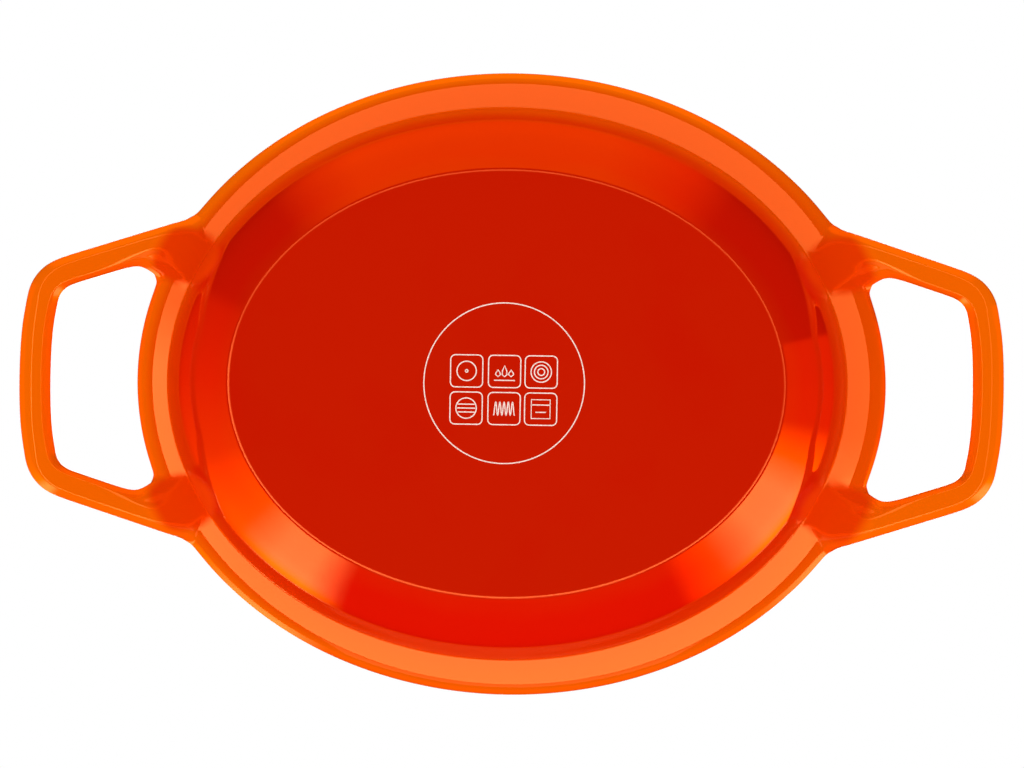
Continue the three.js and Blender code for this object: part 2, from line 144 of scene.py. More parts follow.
# %% [markdown]
# ## Rounded corners
# Every profile here is a line with some of its corners rounded off by an arc. One helper turns corners,
# each given as across, up, radius and number of steps, into the points of that line.

# %% Helper for rounded lines
def rounded(*corners):
    """The points of an open line whose corners are rounded."""
    points = []
    for place, (across, height, *rounding) in enumerate(corners):
        here = Vector((across, height))
        if not rounding:
            points.append(here)
            continue
        radius, steps = rounding
        back = (Vector(corners[place - 1][:2]) - here).normalized()
        on = (Vector(corners[place + 1][:2]) - here).normalized()
        half = back.angle(on) / 2
        centre = here + (back + on).normalized() * (radius / sin(half))
        start = here + back * (radius / tan(half)) - centre
        turn = (pi - 2 * half) * (1 if back.x * on.y - back.y * on.x < 0 else -1)
        for step in range(steps + 1):
            points.append(centre + Matrix.Rotation(turn * step / steps, 2) @ start)
    return points


# %% [markdown]
# ## The pot's casting
# Pot, lip and handles are one casting with no seam, so they are one mesh: a coarse cage that a Subdivision
# Surface rounds, as the enamel rounds the iron. Boolean joins would leave hard lines round the handles'
# roots, where the real surface flows. The cage has loops up the profile and lines round the oval. Where a
# handle leaves the lip, a patch of the cage is left open, and the handle's own loops grow out of it.

# %% Loops of the cage, from the middle of the base round the lip to the middle of the floor
WALL_SUPPORT = 0.0025
UNDER_LIP_STEPS = 5
BASE_SHARES = (0.35, 0.7)
FLOOR_SHARES = (0.6, 0.3)


def wall_radius(height):
    return wall_top.x - (lip_root - height) * tan(WALL_DRAFT)


base_loops = [Vector((foot.x * share, 0.0)) for share in BASE_SHARES]
wall_run = rounded(
    (0.0, 0.0),
    (foot.x, foot.y, FOOT_EDGE, 2),
    (knee.x, knee.y, FOOT_BLEND, 5),
    (wall_radius(lip_root - WALL_SUPPORT), lip_root - WALL_SUPPORT),
    (wall_top.x, wall_top.y, LIP_FILLET, 2),
    (rim_radius, lip_root + LIP_RISE),
)[1:-1]
lip_run = rounded(
    (wall_top.x, wall_top.y),
    (rim_radius, lip_root + LIP_RISE, LIP_UNDER_ROUND, 2),
    (rim_radius, pot_height, LIP_TOP_ROUND, 2),
    (mouth.x, pot_height, MOUTH_ROUND, 2),
    (inner_knee.x, inner_knee.y, INNER_BLEND, 4),
    (floor_corner.x, floor_corner.y, FLOOR_CORNER, 2),
    (0.0, FLOOR_THICKNESS),
)[1:-1]
shares_under_lip = [step / UNDER_LIP_STEPS for step in range(1, UNDER_LIP_STEPS)]
under_lip = [wall_run[-1].lerp(lip_run[0], share) for share in shares_under_lip]
floor_loops = [Vector((foot.x * share, FLOOR_THICKNESS)) for share in FLOOR_SHARES]
loops = base_loops + wall_run + under_lip + lip_run + floor_loops
root_low = len(base_loops) + len(wall_run) - 1
lip_line = root_low + UNDER_LIP_STEPS
root_high = lip_line + 3
land_start = root_high + 2
mouth_start = land_start + 1
print(len(loops), "loops")
print("the handles' roots run from", tuple(loops[root_low]), "to", tuple(loops[root_high]))

# %% [markdown]
# The lines round the oval are spaced so that each root has five columns of its own. A root is wider on the
# lip's edge than at the wall, so the lines near it are drawn together: a table gives how far the root's
# two border lines move at each loop, in degrees, and the lines beyond follow less and less.

# %% Lines of the cage, round the oval
ROOT_INNER = radians(17.6)
ROOT_OUTER = radians(32.3)
PULL_END = radians(62)
ROOT_COLUMNS = 5
BEFORE_ROOT = 6
AFTER_ROOT = 17
BORDER_PULLS = {
    -9: (0.0, 0.0), -3: (2.6, -3.2), 0: (2.6, -3.4), 3: (1.6, -1.8), 5: (0.7, -0.2), 6: (0.4, 0.5),
    7: (0.1, 0.6), 8: (0.0, 0.3), 11: (0.0, 0.0),
}


def spread(start, end, count):
    return [start + (end - start) * step / count for step in range(count)]


def between(value, *stops):
    """Straight-line interpolation through (place, value) stops."""
    for (low, first), (high, second) in zip(stops, stops[1:]):
        if value <= high:
            return first + (second - first) * max(value - low, 0.0) / (high - low)
    return stops[-1][1]


quarter = spread(0.0, ROOT_INNER, BEFORE_ROOT) + spread(ROOT_INNER, ROOT_OUTER, ROOT_COLUMNS)
quarter += spread(ROOT_OUTER, pi / 2, AFTER_ROOT)
half_turn = quarter + [pi / 2] + [pi - angle for angle in reversed(quarter[1:])]
lines = half_turn + [angle + pi for angle in half_turn]


def pulled(angle, loop):
    """A line's angle at a loop, after it is drawn towards the nearest root."""
    inner, outer = (
        radians(between(loop - root_low, *((step, pulls[border]) for step, pulls in BORDER_PULLS.items())))
        for border in (0, 1)
    )
    folded = angle % pi
    side = 1 if folded <= pi / 2 else -1
    near = folded if side == 1 else pi - folded
    pull = between(near, (0.0, 0.0), (ROOT_INNER, inner), (ROOT_OUTER, outer), (PULL_END, 0.0))
    return angle + side * pull


def oval_point(radius, height, angle):
    stretch = oval_stretch * min(radius / foot.x, 1.0)
    return Vector(((radius + stretch) * cos(angle), radius * sin(angle), height))


print(len(lines), "lines round the oval")

# %% [markdown]
# ## Handle loops
# A handle is a bar of even thickness that follows a splayed loop. Its section has a flat underside, an
# outer side that is upright, and an inner side that leans back, as iron does that has to leave a mould.
# Its plan is two lines, the edge next to the fingers and the outer edge, with the same number of stations.

# %% Plan of a handle: its inner and outer edge
HANDLE_DROP = 0.0005
HANDLE_THICKNESS = 0.01
HANDLE_SPAN = 0.075
HANDLE_SPLAY = radians(17.8)
BAR_WIDTH = 0.0122
ARM_WIDTH = 0.0114
BAR_BOW = 0.0024
OUTER_CORNER = 0.0185
INNER_CORNER = 0.0085
ROOT_FILLET = 0.0071
CREASE_OUT = 0.005
CREASE_STEPS = (0.002, 0.0075)
ARMPIT_OUT = 0.0008
ARM_SHARES = (0.4, 0.75)
CORNER_STEPS = 4

handle_top = pot_height - HANDLE_DROP
handle_bottom = handle_top - HANDLE_THICKNESS
bar_outside = pot_high.x
bar_middle = Vector((bar_outside - BAR_WIDTH / 2, HANDLE_SPAN / 2))
arm_angle = pi - HANDLE_SPLAY
arm_ahead = Vector((cos(arm_angle), sin(arm_angle)))
outer_line = beside(bar_middle, arm_angle, -ARM_WIDTH / 2)
inner_line = beside(bar_middle, arm_angle, ARM_WIDTH / 2)


def meets_oval(point, ahead, outside):
    """The point where a line that runs inwards meets the oval that lies outside the lip's edge."""
    scale = Vector((1 / (rim_length + outside), 1 / (rim_radius + outside)))
    begin, step = point * scale, ahead * scale
    half = begin.dot(step)
    root = (half * half - step.length_squared * (begin.length_squared - 1)) ** 0.5
    return point + ahead * ((-half - root) / step.length_squared)


inner_bar = bar_outside - BAR_WIDTH
inner_turn = crossing(inner_line, arm_angle, Vector((inner_bar - BAR_BOW, 0.0)), pi / 2)
outer_turn = crossing(outer_line, arm_angle, Vector((bar_outside - BAR_BOW, 0.0)), pi / 2)
armpit = meets_oval(inner_line, arm_ahead, ARMPIT_OUT)
rim_below = oval_point(rim_radius, 0.0, ROOT_INNER).xy
fillet = rounded(
    (rim_below.x, rim_below.y),
    (armpit.x, armpit.y, ROOT_FILLET, CORNER_STEPS),
    (inner_turn.x, inner_turn.y),
)
crease_outer = meets_oval(outer_line, arm_ahead, CREASE_OUT)


def edge(start, turn, corner_radius, bar):
    """Half of a handle's edge, from its root round the corner to the middle of the bar."""
    run = rounded((start.x, start.y), (turn.x, turn.y, corner_radius, CORNER_STEPS), (turn.x, 0.0))
    on_arm = [start.lerp(run[1], share) for share in ARM_SHARES]
    on_bar = Vector((bar - BAR_BOW / 4, HANDLE_SPAN / 4))
    return on_arm + run[1:-1] + [on_bar, Vector((bar, 0.0))]


after_crease = [crease_outer - arm_ahead * reach for reach in CREASE_STEPS]
inner_edge = fillet[3:6] + edge(fillet[5], inner_turn, INNER_CORNER, inner_bar)
outer_edge = [crease_outer] + after_crease + edge(after_crease[1], outer_turn, OUTER_CORNER, bar_outside)
print("stations on half a handle:", len(inner_edge), len(outer_edge))

# %% Section of a handle
SIDE_STEPS = root_high - root_low
TOP_ROUND = 0.1
LEAN_HEIGHT = 0.65
TOE_HEIGHT = 0.45
TOE_TOP = 0.6
LEAN_POWER = 1.6
FLAT_FROM = ((0, 0.36), (1, 0.3), (3, 0.16), (5, 0.16), (9, 0.26), (11, 0.28))
FLAT_TO = ((0, 0.78), (3, 0.76), (5, 0.74), (9, 0.62), (11, 0.6))
HEEL_LIFT = ((0, 0.16), (3, 0.0), (11, 0.0))


def section(inner, outer, flat_from, flat_to, heel_lift):
    """One loop round the bar: its flat underside, outer side, top and inner side."""
    def heel(rise):
        under, over = max(0, 1 - rise / LEAN_HEIGHT), max(0, rise - LEAN_HEIGHT) / (1 - LEAN_HEIGHT)
        return flat_from * under ** LEAN_POWER + TOP_ROUND * over ** 2

    def toe(rise):
        under, over = max(0, 1 - rise / TOE_HEIGHT), max(0, (rise - TOE_TOP) / (1 - TOE_TOP))
        return 1 - (1 - flat_to) * under ** LEAN_POWER - TOP_ROUND * over ** 2

    def point(share, rise):
        plan = inner.lerp(outer, share)
        return Vector((plan.x, plan.y, handle_bottom + HANDLE_THICKNESS * rise))

    across = [step / ROOT_COLUMNS for step in range(ROOT_COLUMNS + 1)]
    rises = [step / SIDE_STEPS for step in range(1, SIDE_STEPS)]
    underside = [point(heel(0) + (toe(0) - heel(0)) * share, 0.0) for share in across]
    underside[0].z += HANDLE_THICKNESS * heel_lift
    top = [point(toe(1) + (heel(1) - toe(1)) * share, 1.0) for share in across]
    outside = [point(toe(rise), rise) for rise in rises]
    inside = [point(heel(rise), rise) for rise in reversed(rises)]
    return underside + outside + top + inside


half_handle = []
for station, (inner, outer) in enumerate(zip(inner_edge, outer_edge)):
    shares = (between(station, *stops) for stops in (FLAT_FROM, FLAT_TO, HEEL_LIFT))
    half_handle.append(section(inner, outer, *shares))
other_half = [[point * Vector((1, -1, 1)) for point in ring] for ring in reversed(half_handle[:-1])]
handle_rings = half_handle + other_half
print("handle:", len(handle_rings), "loops of", len(handle_rings[0]), "points")

# %% [markdown]
# Under the lip, between the wall and the crease, the arm's underside rises to the lip's corner. One loop is
# listed there: its underside runs along the wall, half way up, and its top follows the lip's edge.

# %% Loop under the lip
WEB_INNER = Vector((0.1322, 0.0436)), Vector((0.1352, 0.0384)), fillet[2]
WEB_OUTER = Vector((0.1236, 0.0576)), Vector((0.1214, 0.0642)), Vector((0.1246, 0.0641))

web_foot = (handle_bottom + lip_root) / 2
web_rise = loops[root_high].y - web_foot
steps_up = [step / SIDE_STEPS for step in range(1, SIDE_STEPS)]
steps_across = [step / ROOT_COLUMNS for step in range(ROOT_COLUMNS + 1)]


def web_side(bends, rise):
    """A point on a side of the web, whose plan follows a bend from foot to top."""
    foot_point, bend, top_point = bends
    return foot_point.lerp(bend, rise).lerp(bend.lerp(top_point, rise), rise).to_3d() + Vector(
        (0.0, 0.0, web_foot + web_rise * rise)
    )


def web_across(rise):
    return [web_side(WEB_INNER, rise).lerp(web_side(WEB_OUTER, rise), share) for share in steps_across]


web_ring = web_across(0.0) + [web_side(WEB_OUTER, rise) for rise in steps_up]
web_ring += web_across(1.0)[::-1] + [web_side(WEB_INNER, rise) for rise in reversed(steps_up)]
print("web loop of", len(web_ring), "points")

# %% [markdown]
# ## Putting the cage together
# The grid of loops and lines is made first, without the faces of the four roots. Then each handle's loops
# are joined to the edge of its two roots, through the loop under the lip and loops half way on either side
# of it. Lines that stay crisp under the enamel, along the lip and the handles, are given a crease. The
# photograph's wall is broader at one end, as if the halves of the mould hadn't met exactly, so below the
# lip the outside lies a little to one side. The subdivision draws every ring in by a sixth of its bend at
# each point, so the cage stands out by as much.

# %% Build the cage
LIP_CREASE = 0.35
BAR_CREASE = 0.45
CREASE_RAMP = 3
CASTING_SHIFT = -0.0016
FULLNESS_ABOVE = 0.35
BEND_PARTS = 6
OUTSIDE, LAND, INSIDE = range(3)

cage = bmesh.new()
crease = cage.edges.layers.float.new("crease_edge")
fullness = {lip_line: LIP_END_FULLNESS, lip_line + 1: LIP_END_FULLNESS * FULLNESS_ABOVE}
grid = []
for number, point in enumerate(loops):
    shift = Vector((between(number, (root_low, CASTING_SHIFT), (lip_line, 0.0)), 0.0, 0.0))
    ring = []
    for angle in (pulled(line, number) for line in lines):
        radius = point.x - fullness.get(number, 0.0) * cos(angle) ** 2
        ring.append(oval_point(radius, point.y, angle) + shift)
    neighbours = zip(ring[-1:] + ring, ring, ring[1:] + ring[:1])
    bends = [before + after - 2 * here for before, here, after in neighbours]
    grid.append([cage.verts.new(here - bend / BEND_PARTS) for here, bend in zip(ring, bends)])
count = len(lines)
first_root = range(BEFORE_ROOT, BEFORE_ROOT + ROOT_COLUMNS)
open_columns = {column % count for column in first_root}
open_columns |= {-1 - column + count for column in first_root}
open_columns |= {(column + count // 2) % count for column in set(open_columns)}


def finish_of(loop):
    return OUTSIDE if loop < land_start else LAND if loop < mouth_start else INSIDE


for loop in range(len(loops) - 1):
    for column in range(count):
        if root_low <= loop < root_high and column in open_columns:
            continue
        nxt = (column + 1) % count
        ring, above = grid[loop], grid[loop + 1]
        cage.faces.new((ring[column], ring[nxt], above[nxt], above[column])).material_index = finish_of(loop)
for ring, across, height, finish in (
    (grid[0], CASTING_SHIFT, 0.0, OUTSIDE), (grid[-1], 0.0, FLOOR_THICKNESS, INSIDE),
):
    pole = cage.verts.new((across, 0.0, height))
    for column in range(count):
        cage.faces.new((ring[column], ring[(column + 1) % count], pole)).material_index = finish
for first, second in zip(grid[lip_line], grid[lip_line][1:] + grid[lip_line][:1]):
    shared = cage.edges.get((first, second))
    if shared:
        shared[crease] = LIP_CREASE
print("pot grid:", len(cage.faces), "faces")

# %% Grow the handles out of their roots
def root_edge(inner, outer):
    """The open edge of a root in the order of a handle's section; inner and outer are columns."""
    step = 1 if outer > inner else -1
    columns = [column % count for column in range(inner, outer + step, step)]
    sides = range(root_low + 1, root_high)
    underside = [grid[root_low][column] for column in columns]
    outside = [grid[loop][columns[-1]] for loop in sides]
    top = [grid[root_high][column] for column in reversed(columns)]
    inside = [grid[loop][columns[0]] for loop in reversed(sides)]
    return underside + outside + top + inside


def half_way(first, second):
    return [low.lerp(high, 0.5) for low, high in zip(first, second)]


for end in (0, 1):
    turn = Matrix.Rotation(pi * end, 3, "Z")
    arm_rings = [[turn @ point for point in ring] for ring in handle_rings]
    webs = [[turn @ point for point in web_ring], [turn @ (point * Vector((1, -1, 1))) for point in web_ring]]
    half = end * count // 2
    start = root_edge(half + BEFORE_ROOT, half + BEFORE_ROOT + ROOT_COLUMNS)
    finish = root_edge(half - BEFORE_ROOT, half - BEFORE_ROOT - ROOT_COLUMNS)
    start_ramp, finish_ramp = (
        [half_way([vertex.co for vertex in root], web), web, half_way(web, arm)]
        for root, web, arm in ((start, webs[0], arm_rings[0]), (finish, webs[1], arm_rings[-1]))
    )
    rings = start_ramp + arm_rings + finish_ramp[::-1]
    made = [start] + [[cage.verts.new(point) for point in ring] for ring in rings] + [finish]
    for ring, after in zip(made, made[1:]):
        for place in range(len(ring)):
            nxt = (place + 1) % len(ring)
            cage.faces.new((ring[place], ring[nxt], after[nxt], after[place]))
    first_arm, last_arm = 1 + len(start_ramp), len(start_ramp) + len(arm_rings)
    for number in range(first_arm, last_arm):
        from_root = min(number - first_arm, last_arm - 1 - number)
        for place in (0, ROOT_COLUMNS):
            along = cage.edges.get((made[number][place], made[number + 1][place]))
            along[crease] = BAR_CREASE * min(1.0, from_root / CREASE_RAMP)
    for ring in (made[first_arm], made[last_arm]):
        for place in range(1, ROOT_COLUMNS):
            cage.edges.get((ring[place], ring[place + 1]))[crease] = BAR_CREASE
bmesh.ops.recalc_face_normals(cage, faces=cage.faces)
loose = [edge for edge in cage.edges if len(edge.link_faces) != 2]
print("cage:", len(cage.faces), "faces,", len(loose), "open edges")

# %% [markdown]
# ## From cage to piece
# Subdivision Surface is left on the piece at two levels, the same for the viewport and the render. The
# same helper puts every finished mesh into the scene at the origin and on its body.

# %% Make the pot
SUBDIVISIONS = 2


def add_piece(name, mesh, body, slot, *nodes):
    """A finished piece at the origin that rides on a body and may stand for CAD nodes."""
    piece = bpy.data.objects.new(name, mesh)
    scene.collection.objects.link(piece)
    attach(piece, body)
    if nodes:
        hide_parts(*nodes)
    return piece


pot_mesh = bpy.data.meshes.new("pot_casting")
cage.to_mesh(pot_mesh)
cage.free()
pot_mesh.shade_smooth()
pot = add_piece("pot_casting", pot_mesh, "pot", "pot_enamel", "pot_body")
smoothing = pot.modifiers.new("enamel_rounding", "SUBSURF")
smoothing.levels = smoothing.render_levels = SUBDIVISIONS
print("pot casting:", len(pot_mesh.polygons), "cage faces")

# %% [markdown]
# ## Turned and drawn-out pieces
# The lid is turned like a potter's plate and then drawn out to the pot's oval, and the knob's pieces are
# plainly turned. That is one rule, so one Geometry Nodes tree makes them all: it takes a profile, sets a
# grid of points round it, and adds the oval's stretch between two radii. Spin and a lattice would do it
# too, but the tree keeps the sizes as inputs that can be changed later.

# %% Helper that adds a node
def node(tree, kind, links=None, **settings):
    """Add a node with its settings; links gives each input a value or another node's output."""
    made = tree.nodes.new(kind)
    for name, value in settings.items():
        setattr(made, name, value)
    for socket, value in (links or {}).items():
        if isinstance(value, bpy.types.NodeSocket):
            tree.links.new(value, made.inputs[socket])
        else:
            made.inputs[socket].default_value = value
    return made


def new_tree(name, **inputs):
    """A Geometry Nodes tree with named inputs and one output, and its input node."""
    tree = bpy.data.node_groups.new(name, "GeometryNodeTree")
    for socket, kind in inputs.items():
        tree.interface.new_socket(socket, in_out="INPUT", socket_type="NodeSocket" + kind)
    tree.interface.new_socket("piece", in_out="OUTPUT", socket_type="NodeSocketGeometry")
    return tree, tree.nodes.new("NodeGroupInput").outputs


# %% Tree that turns a profile and draws it out
turning, given = new_tree(
    "turned_and_drawn_out", profile="Geometry", points="Int", sides="Int", stretch="Float",
    round_radius="Float", full_radius="Float", outside_from="Int", inside_finish="Material",
    outside_finish="Material",
)
per_turn = node(turning, "ShaderNodeMath", {0: given["sides"], 1: 1.0}, operation="ADD").outputs[0]
index = node(turning, "GeometryNodeInputIndex").outputs[0]
passed = node(turning, "ShaderNodeMath", {0: index, 1: per_turn}, operation="DIVIDE").outputs[0]
station = node(turning, "ShaderNodeMath", {0: passed}, operation="FLOOR").outputs[0]
fraction = node(turning, "ShaderNodeMath", {0: index, 1: per_turn}, operation="MODULO").outputs[0]
share = node(turning, "ShaderNodeMath", {0: fraction, 1: given["sides"]}, operation="DIVIDE").outputs[0]
angle = node(turning, "ShaderNodeMath", {0: share, 1: 2 * pi}, operation="MULTIPLY").outputs[0]
position = node(turning, "GeometryNodeInputPosition").outputs[0]
sampled = node(
    turning, "GeometryNodeSampleIndex", {"Geometry": given["profile"], "Value": position, "Index": station},
    data_type="FLOAT_VECTOR",
).outputs[0]
profile_xyz = node(turning, "ShaderNodeSeparateXYZ", {0: sampled}).outputs
drawn = node(turning, "ShaderNodeMapRange", {
    "Value": profile_xyz["X"], "From Min": given["round_radius"], "From Max": given["full_radius"],
    "To Min": 0.0, "To Max": given["stretch"],
}).outputs[0]
reach = node(turning, "ShaderNodeMath", {0: profile_xyz["X"], 1: drawn}, operation="ADD").outputs[0]
cosine = node(turning, "ShaderNodeMath", {0: angle}, operation="COSINE").outputs[0]
sine = node(turning, "ShaderNodeMath", {0: angle}, operation="SINE").outputs[0]
place = node(turning, "ShaderNodeCombineXYZ", {
    "X": node(turning, "ShaderNodeMath", {0: reach, 1: cosine}, operation="MULTIPLY").outputs[0],
    "Y": node(turning, "ShaderNodeMath", {0: profile_xyz["X"], 1: sine}, operation="MULTIPLY").outputs[0],
    "Z": profile_xyz["Z"],
}).outputs[0]
sheet = node(turning, "GeometryNodeMeshGrid", {
    "Vertices X": given["points"], "Vertices Y": per_turn,
}).outputs[0]
shaped = node(turning, "GeometryNodeSetPosition", {"Geometry": sheet, "Position": place}).outputs[0]
print(turning.name, len(turning.nodes), "nodes so far")

# %% [markdown]
# Each face of the grid remembers which step of the profile it came from, so that the lid can have one
# enamel inside and another outside. Then the seam and the poles are closed by merging their points.

# %% Close the turned piece and give it its finishes
MERGE_DISTANCE = 1e-6

row = node(turning, "ShaderNodeMath", {0: index, 1: given["sides"]}, operation="DIVIDE").outputs[0]
keep_row = node(turning, "GeometryNodeCaptureAttribute", domain="FACE")
keep_row.capture_items.new("FLOAT", "row")
turning.links.new(shaped, keep_row.inputs["Geometry"])
turning.links.new(row, keep_row.inputs["row"])
merged = node(turning, "GeometryNodeMergeByDistance", {
    "Geometry": keep_row.outputs["Geometry"], "Distance": MERGE_DISTANCE,
}).outputs[0]
real = node(turning, "GeometryNodeRealizeInstances", {"Geometry": merged}).outputs[0]
outside = node(turning, "FunctionNodeCompare", {
    0: keep_row.outputs["row"], 1: given["outside_from"],
}, operation="GREATER_EQUAL").outputs[0]
inner = node(turning, "GeometryNodeSetMaterial", {
    "Geometry": real, "Material": given["inside_finish"],
}).outputs[0]
both = node(turning, "GeometryNodeSetMaterial", {
    "Geometry": inner, "Selection": outside, "Material": given["outside_finish"],
}).outputs[0]
node(turning, "NodeGroupOutput", {0: both})
print(turning.name, len(turning.nodes), "nodes")

# %% [markdown]
# A tree runs as a modifier. The helper sets the modifier's inputs by their identifiers, evaluates it once
# and keeps the result as a plain mesh, with its faces turned outwards and its sharp edges marked.

# %% Helper that runs a tree over a mesh
SHARP_ANGLE = radians(38)


def settle(name, mesh, tree, **values):
    """The plain mesh that a Geometry Nodes tree makes of a mesh."""
    source = bpy.data.objects.new(name, mesh)
    scene.collection.objects.link(source)
    modifier = source.modifiers.new(tree.name, "NODES")
    modifier.node_group = tree
    for socket in tree.interface.items_tree:
        if socket.in_out == "INPUT" and socket.name in values:
            modifier[socket.identifier] = values[socket.name]
    evaluated = source.evaluated_get(bpy.context.evaluated_depsgraph_get())
    result = bpy.data.meshes.new_from_object(evaluated)
    result.name = name
    bpy.data.objects.remove(source)
    bpy.data.meshes.remove(mesh)
    tidy = bmesh.new()
    tidy.from_mesh(result)
    bmesh.ops.recalc_face_normals(tidy, faces=tidy.faces)
    tidy.to_mesh(result)
    tidy.free()
    result.shade_smooth()
    result.set_sharp_from_angle(angle=SHARP_ANGLE)
    return result


def turned(name, profile, sides, inside_finish, outside_finish=None, outside_from=0, ring=False, **stretch):
    """Turn a profile of radius and height; a ring's profile closes on itself."""
    points = [Vector((point.x, 0.0, point.y)) for point in profile]
    if ring:
        points.append(points[0].copy())
    line = bpy.data.meshes.new(name + "_profile")
    line.from_pydata(points, [(step, step + 1) for step in range(len(points) - 1)], [])
    made = settle(
        name, line, turning, points=len(points), sides=sides, inside_finish=inside_finish,
        outside_finish=outside_finish or inside_finish, outside_from=outside_from, **stretch,
    )
    print(name, len(made.polygons), "faces")
    return made


# %% [markdown]
# ## Colours and finishes
# Colours are written as sRGB hex codes, as on a paint chart, and one function turns them into the linear
# values that Blender's sockets expect. Patterns are sized in millimetres: a noise texture of scale s has
# grains of about 1/s metres, so the scale is the inverse of the grain.

# %% Helpers for finishes
MM = 0.001


def linear(code):
    """An sRGB hex colour such as F0E4CC as linear red, green, blue and alpha."""
    shares = [int(code[place:place + 2], 16) / 255 for place in (0, 2, 4)]
    light = [share / 12.92 if share <= 0.04045 else ((share + 0.055) / 1.055) ** 2.4 for share in shares]
    return light + [1.0]


def new_finish(name, **values):
    """A material with its node tree, its shader and the position on the piece in Object coordinates."""
    finish = bpy.data.materials.new(name)
    finish.use_nodes = True
    tree = finish.node_tree
    shader = tree.nodes["Principled BSDF"]
    for socket, value in values.items():
        shader.inputs[socket.replace("_", " ")].default_value = value
    where = node(tree, "ShaderNodeTexCoord").outputs["Object"]
    return finish, tree, shader, where


def set_ramp(ramp, *stops):
    """Give a colour ramp its stops, each a place and a hex colour."""
    elements = ramp.color_ramp.elements
    while len(elements) < len(stops):
        elements.new(1.0)
    for element, (place, code) in zip(elements, stops):
        element.position = place
        element.color = linear(code)


# %% [markdown]
# ### Graded enamel
# The iron is coated in glass: a red enamel on the base and wall, with orange sprayed over it towards the
# lip and amber on the handles. The colour follows the height, and the spray reached further down one long
# side than the other. The lip's outer edge is paler, less so at one end. Where the handles leave the lip, a
# redder, darker base colour is painted shade in that corner. The glass is smooth but not flat, like orange
# peel, so a fine bump bends what it mirrors. Seen straight on, the thick coloured glass warms its own gloss,
# which Specular Tint gives. Beside the roots the tint is dark: painted shade that takes the gloss away there.
# That is no property of enamel: it corrects a pale haze that the render alone would show.

# %% Graded enamel of the pot
PEEL_GRAIN = 6 * MM
RUN_GRAIN = 45 * MM
PEEL_DEPTH = 0.012 * MM
WAVE_GRAIN = 9 * MM
WAVE_DEPTH = 0.08 * MM
GLOSS_TINT = "FF8644"
# The root tint and the root colour are painted shade where the handles leave the lip: darker gloss and a
# redder, darker enamel in that corner.
ROOT_SHADE_TINT = "7A2000"
ROOT_SHAPE = (0.8, 1.0, 0.0)
ROOT_MIDDLE = (0.102, 0.048, 0.0)
ROOT_REACH = 9 * MM
ROOT_FADE = 13 * MM
LIP_COLOUR = "EE4E00"
EDGE_COLOURS = ("FF6A00", "F25C00")
ROOT_SHADE_COLOUR = "EA3C00"
HANDLE_COLOUR = "FC6800"
SPRAY_LEAN = (1.35, 0.78)
CLOUD_RANGE = (0.3, 0.7)
CLOUD_DRIFT = 0.05
BELOW_LIP = 3 * MM
INTO_LIP = 1.5 * MM
EDGE_BAND = (0.955, 0.985)
HANDLE_BAND = (1.015, 1.06)
PLAIN_END = (0.07, 0.13)
PLAIN_END_SHARE = 0.1

pot_enamel, tree, shader, where = new_finish("graded_enamel", Roughness=0.06, IOR=1.5, Specular_IOR_Level=1.0)
xyz = node(tree, "ShaderNodeSeparateXYZ", {0: where}).outputs
cloud = node(tree, "ShaderNodeTexNoise", {"Vector": where, "Scale": 1 / RUN_GRAIN, "Detail": 3.0}).outputs[0]
rise = node(tree, "ShaderNodeMath", {0: xyz["Z"], 1: pot_height}, operation="DIVIDE").outputs[0]
lean = node(tree, "ShaderNodeMapRange", {
    "Value": xyz["Y"], "From Min": -rim_radius, "From Max": rim_radius,
    "To Min": SPRAY_LEAN[0], "To Max": SPRAY_LEAN[1],
}).outputs[0]
sprayed = node(tree, "ShaderNodeMath", {0: rise, 1: lean}, operation="MULTIPLY").outputs[0]
drift = node(tree, "ShaderNodeMapRange", {
    "Value": cloud, "From Min": CLOUD_RANGE[0], "From Max": CLOUD_RANGE[1],
    "To Min": -CLOUD_DRIFT, "To Max": CLOUD_DRIFT,
}).outputs[0]
graded = node(tree, "ShaderNodeMath", {0: sprayed, 1: drift}, operation="ADD").outputs[0]
wall_ramp = node(tree, "ShaderNodeValToRGB", {0: graded})
set_ramp(wall_ramp, (0.0, "CE1A00"), (0.12, "CE1100"), (0.55, "D01300"), (0.8, "DC3000"), (1.0, "EA5000"))
to_lip = node(tree, "ShaderNodeMapRange", {
    "Value": xyz["Z"], "From Min": lip_root - BELOW_LIP, "From Max": lip_root + INTO_LIP,
}, interpolation_type="SMOOTHSTEP").outputs[0]
with_lip = node(tree, "ShaderNodeMix", {
    0: to_lip, 6: wall_ramp.outputs[0], 7: linear(LIP_COLOUR),
}, data_type="RGBA").outputs[2]
plan = node(tree, "ShaderNodeVectorMath", {
    0: where, 1: (1 / rim_length, 1 / rim_radius, 0.0),
}, operation="MULTIPLY").outputs[0]
away = node(tree, "ShaderNodeVectorMath", {0: plan}, operation="LENGTH").outputs["Value"]
across = node(tree, "ShaderNodeMapRange", {
    "Value": xyz["Y"], "From Min": -rim_radius, "From Max": rim_radius,
}).outputs[0]
one_end = node(tree, "ShaderNodeMapRange", {
    "Value": xyz["X"], "From Min": PLAIN_END[0], "From Max": PLAIN_END[1],
    "To Min": 1.0, "To Max": PLAIN_END_SHARE,
}).outputs[0]
to_edge = node(tree, "ShaderNodeMapRange", {
    "Value": away, "From Min": EDGE_BAND[0], "From Max": EDGE_BAND[1], "To Max": one_end,
}, interpolation_type="SMOOTHSTEP").outputs[0]
edge_colour = node(tree, "ShaderNodeMix", {
    0: across, 6: linear(EDGE_COLOURS[0]), 7: linear(EDGE_COLOURS[1]),
}, data_type="RGBA").outputs[2]
with_edge = node(tree, "ShaderNodeMix", {
    0: to_edge, 6: with_lip, 7: edge_colour,
}, data_type="RGBA").outputs[2]
folded = node(tree, "ShaderNodeVectorMath", {0: where}, operation="ABSOLUTE").outputs[0]
pressed = node(tree, "ShaderNodeVectorMath", {0: folded, 1: ROOT_SHAPE}, operation="MULTIPLY").outputs[0]
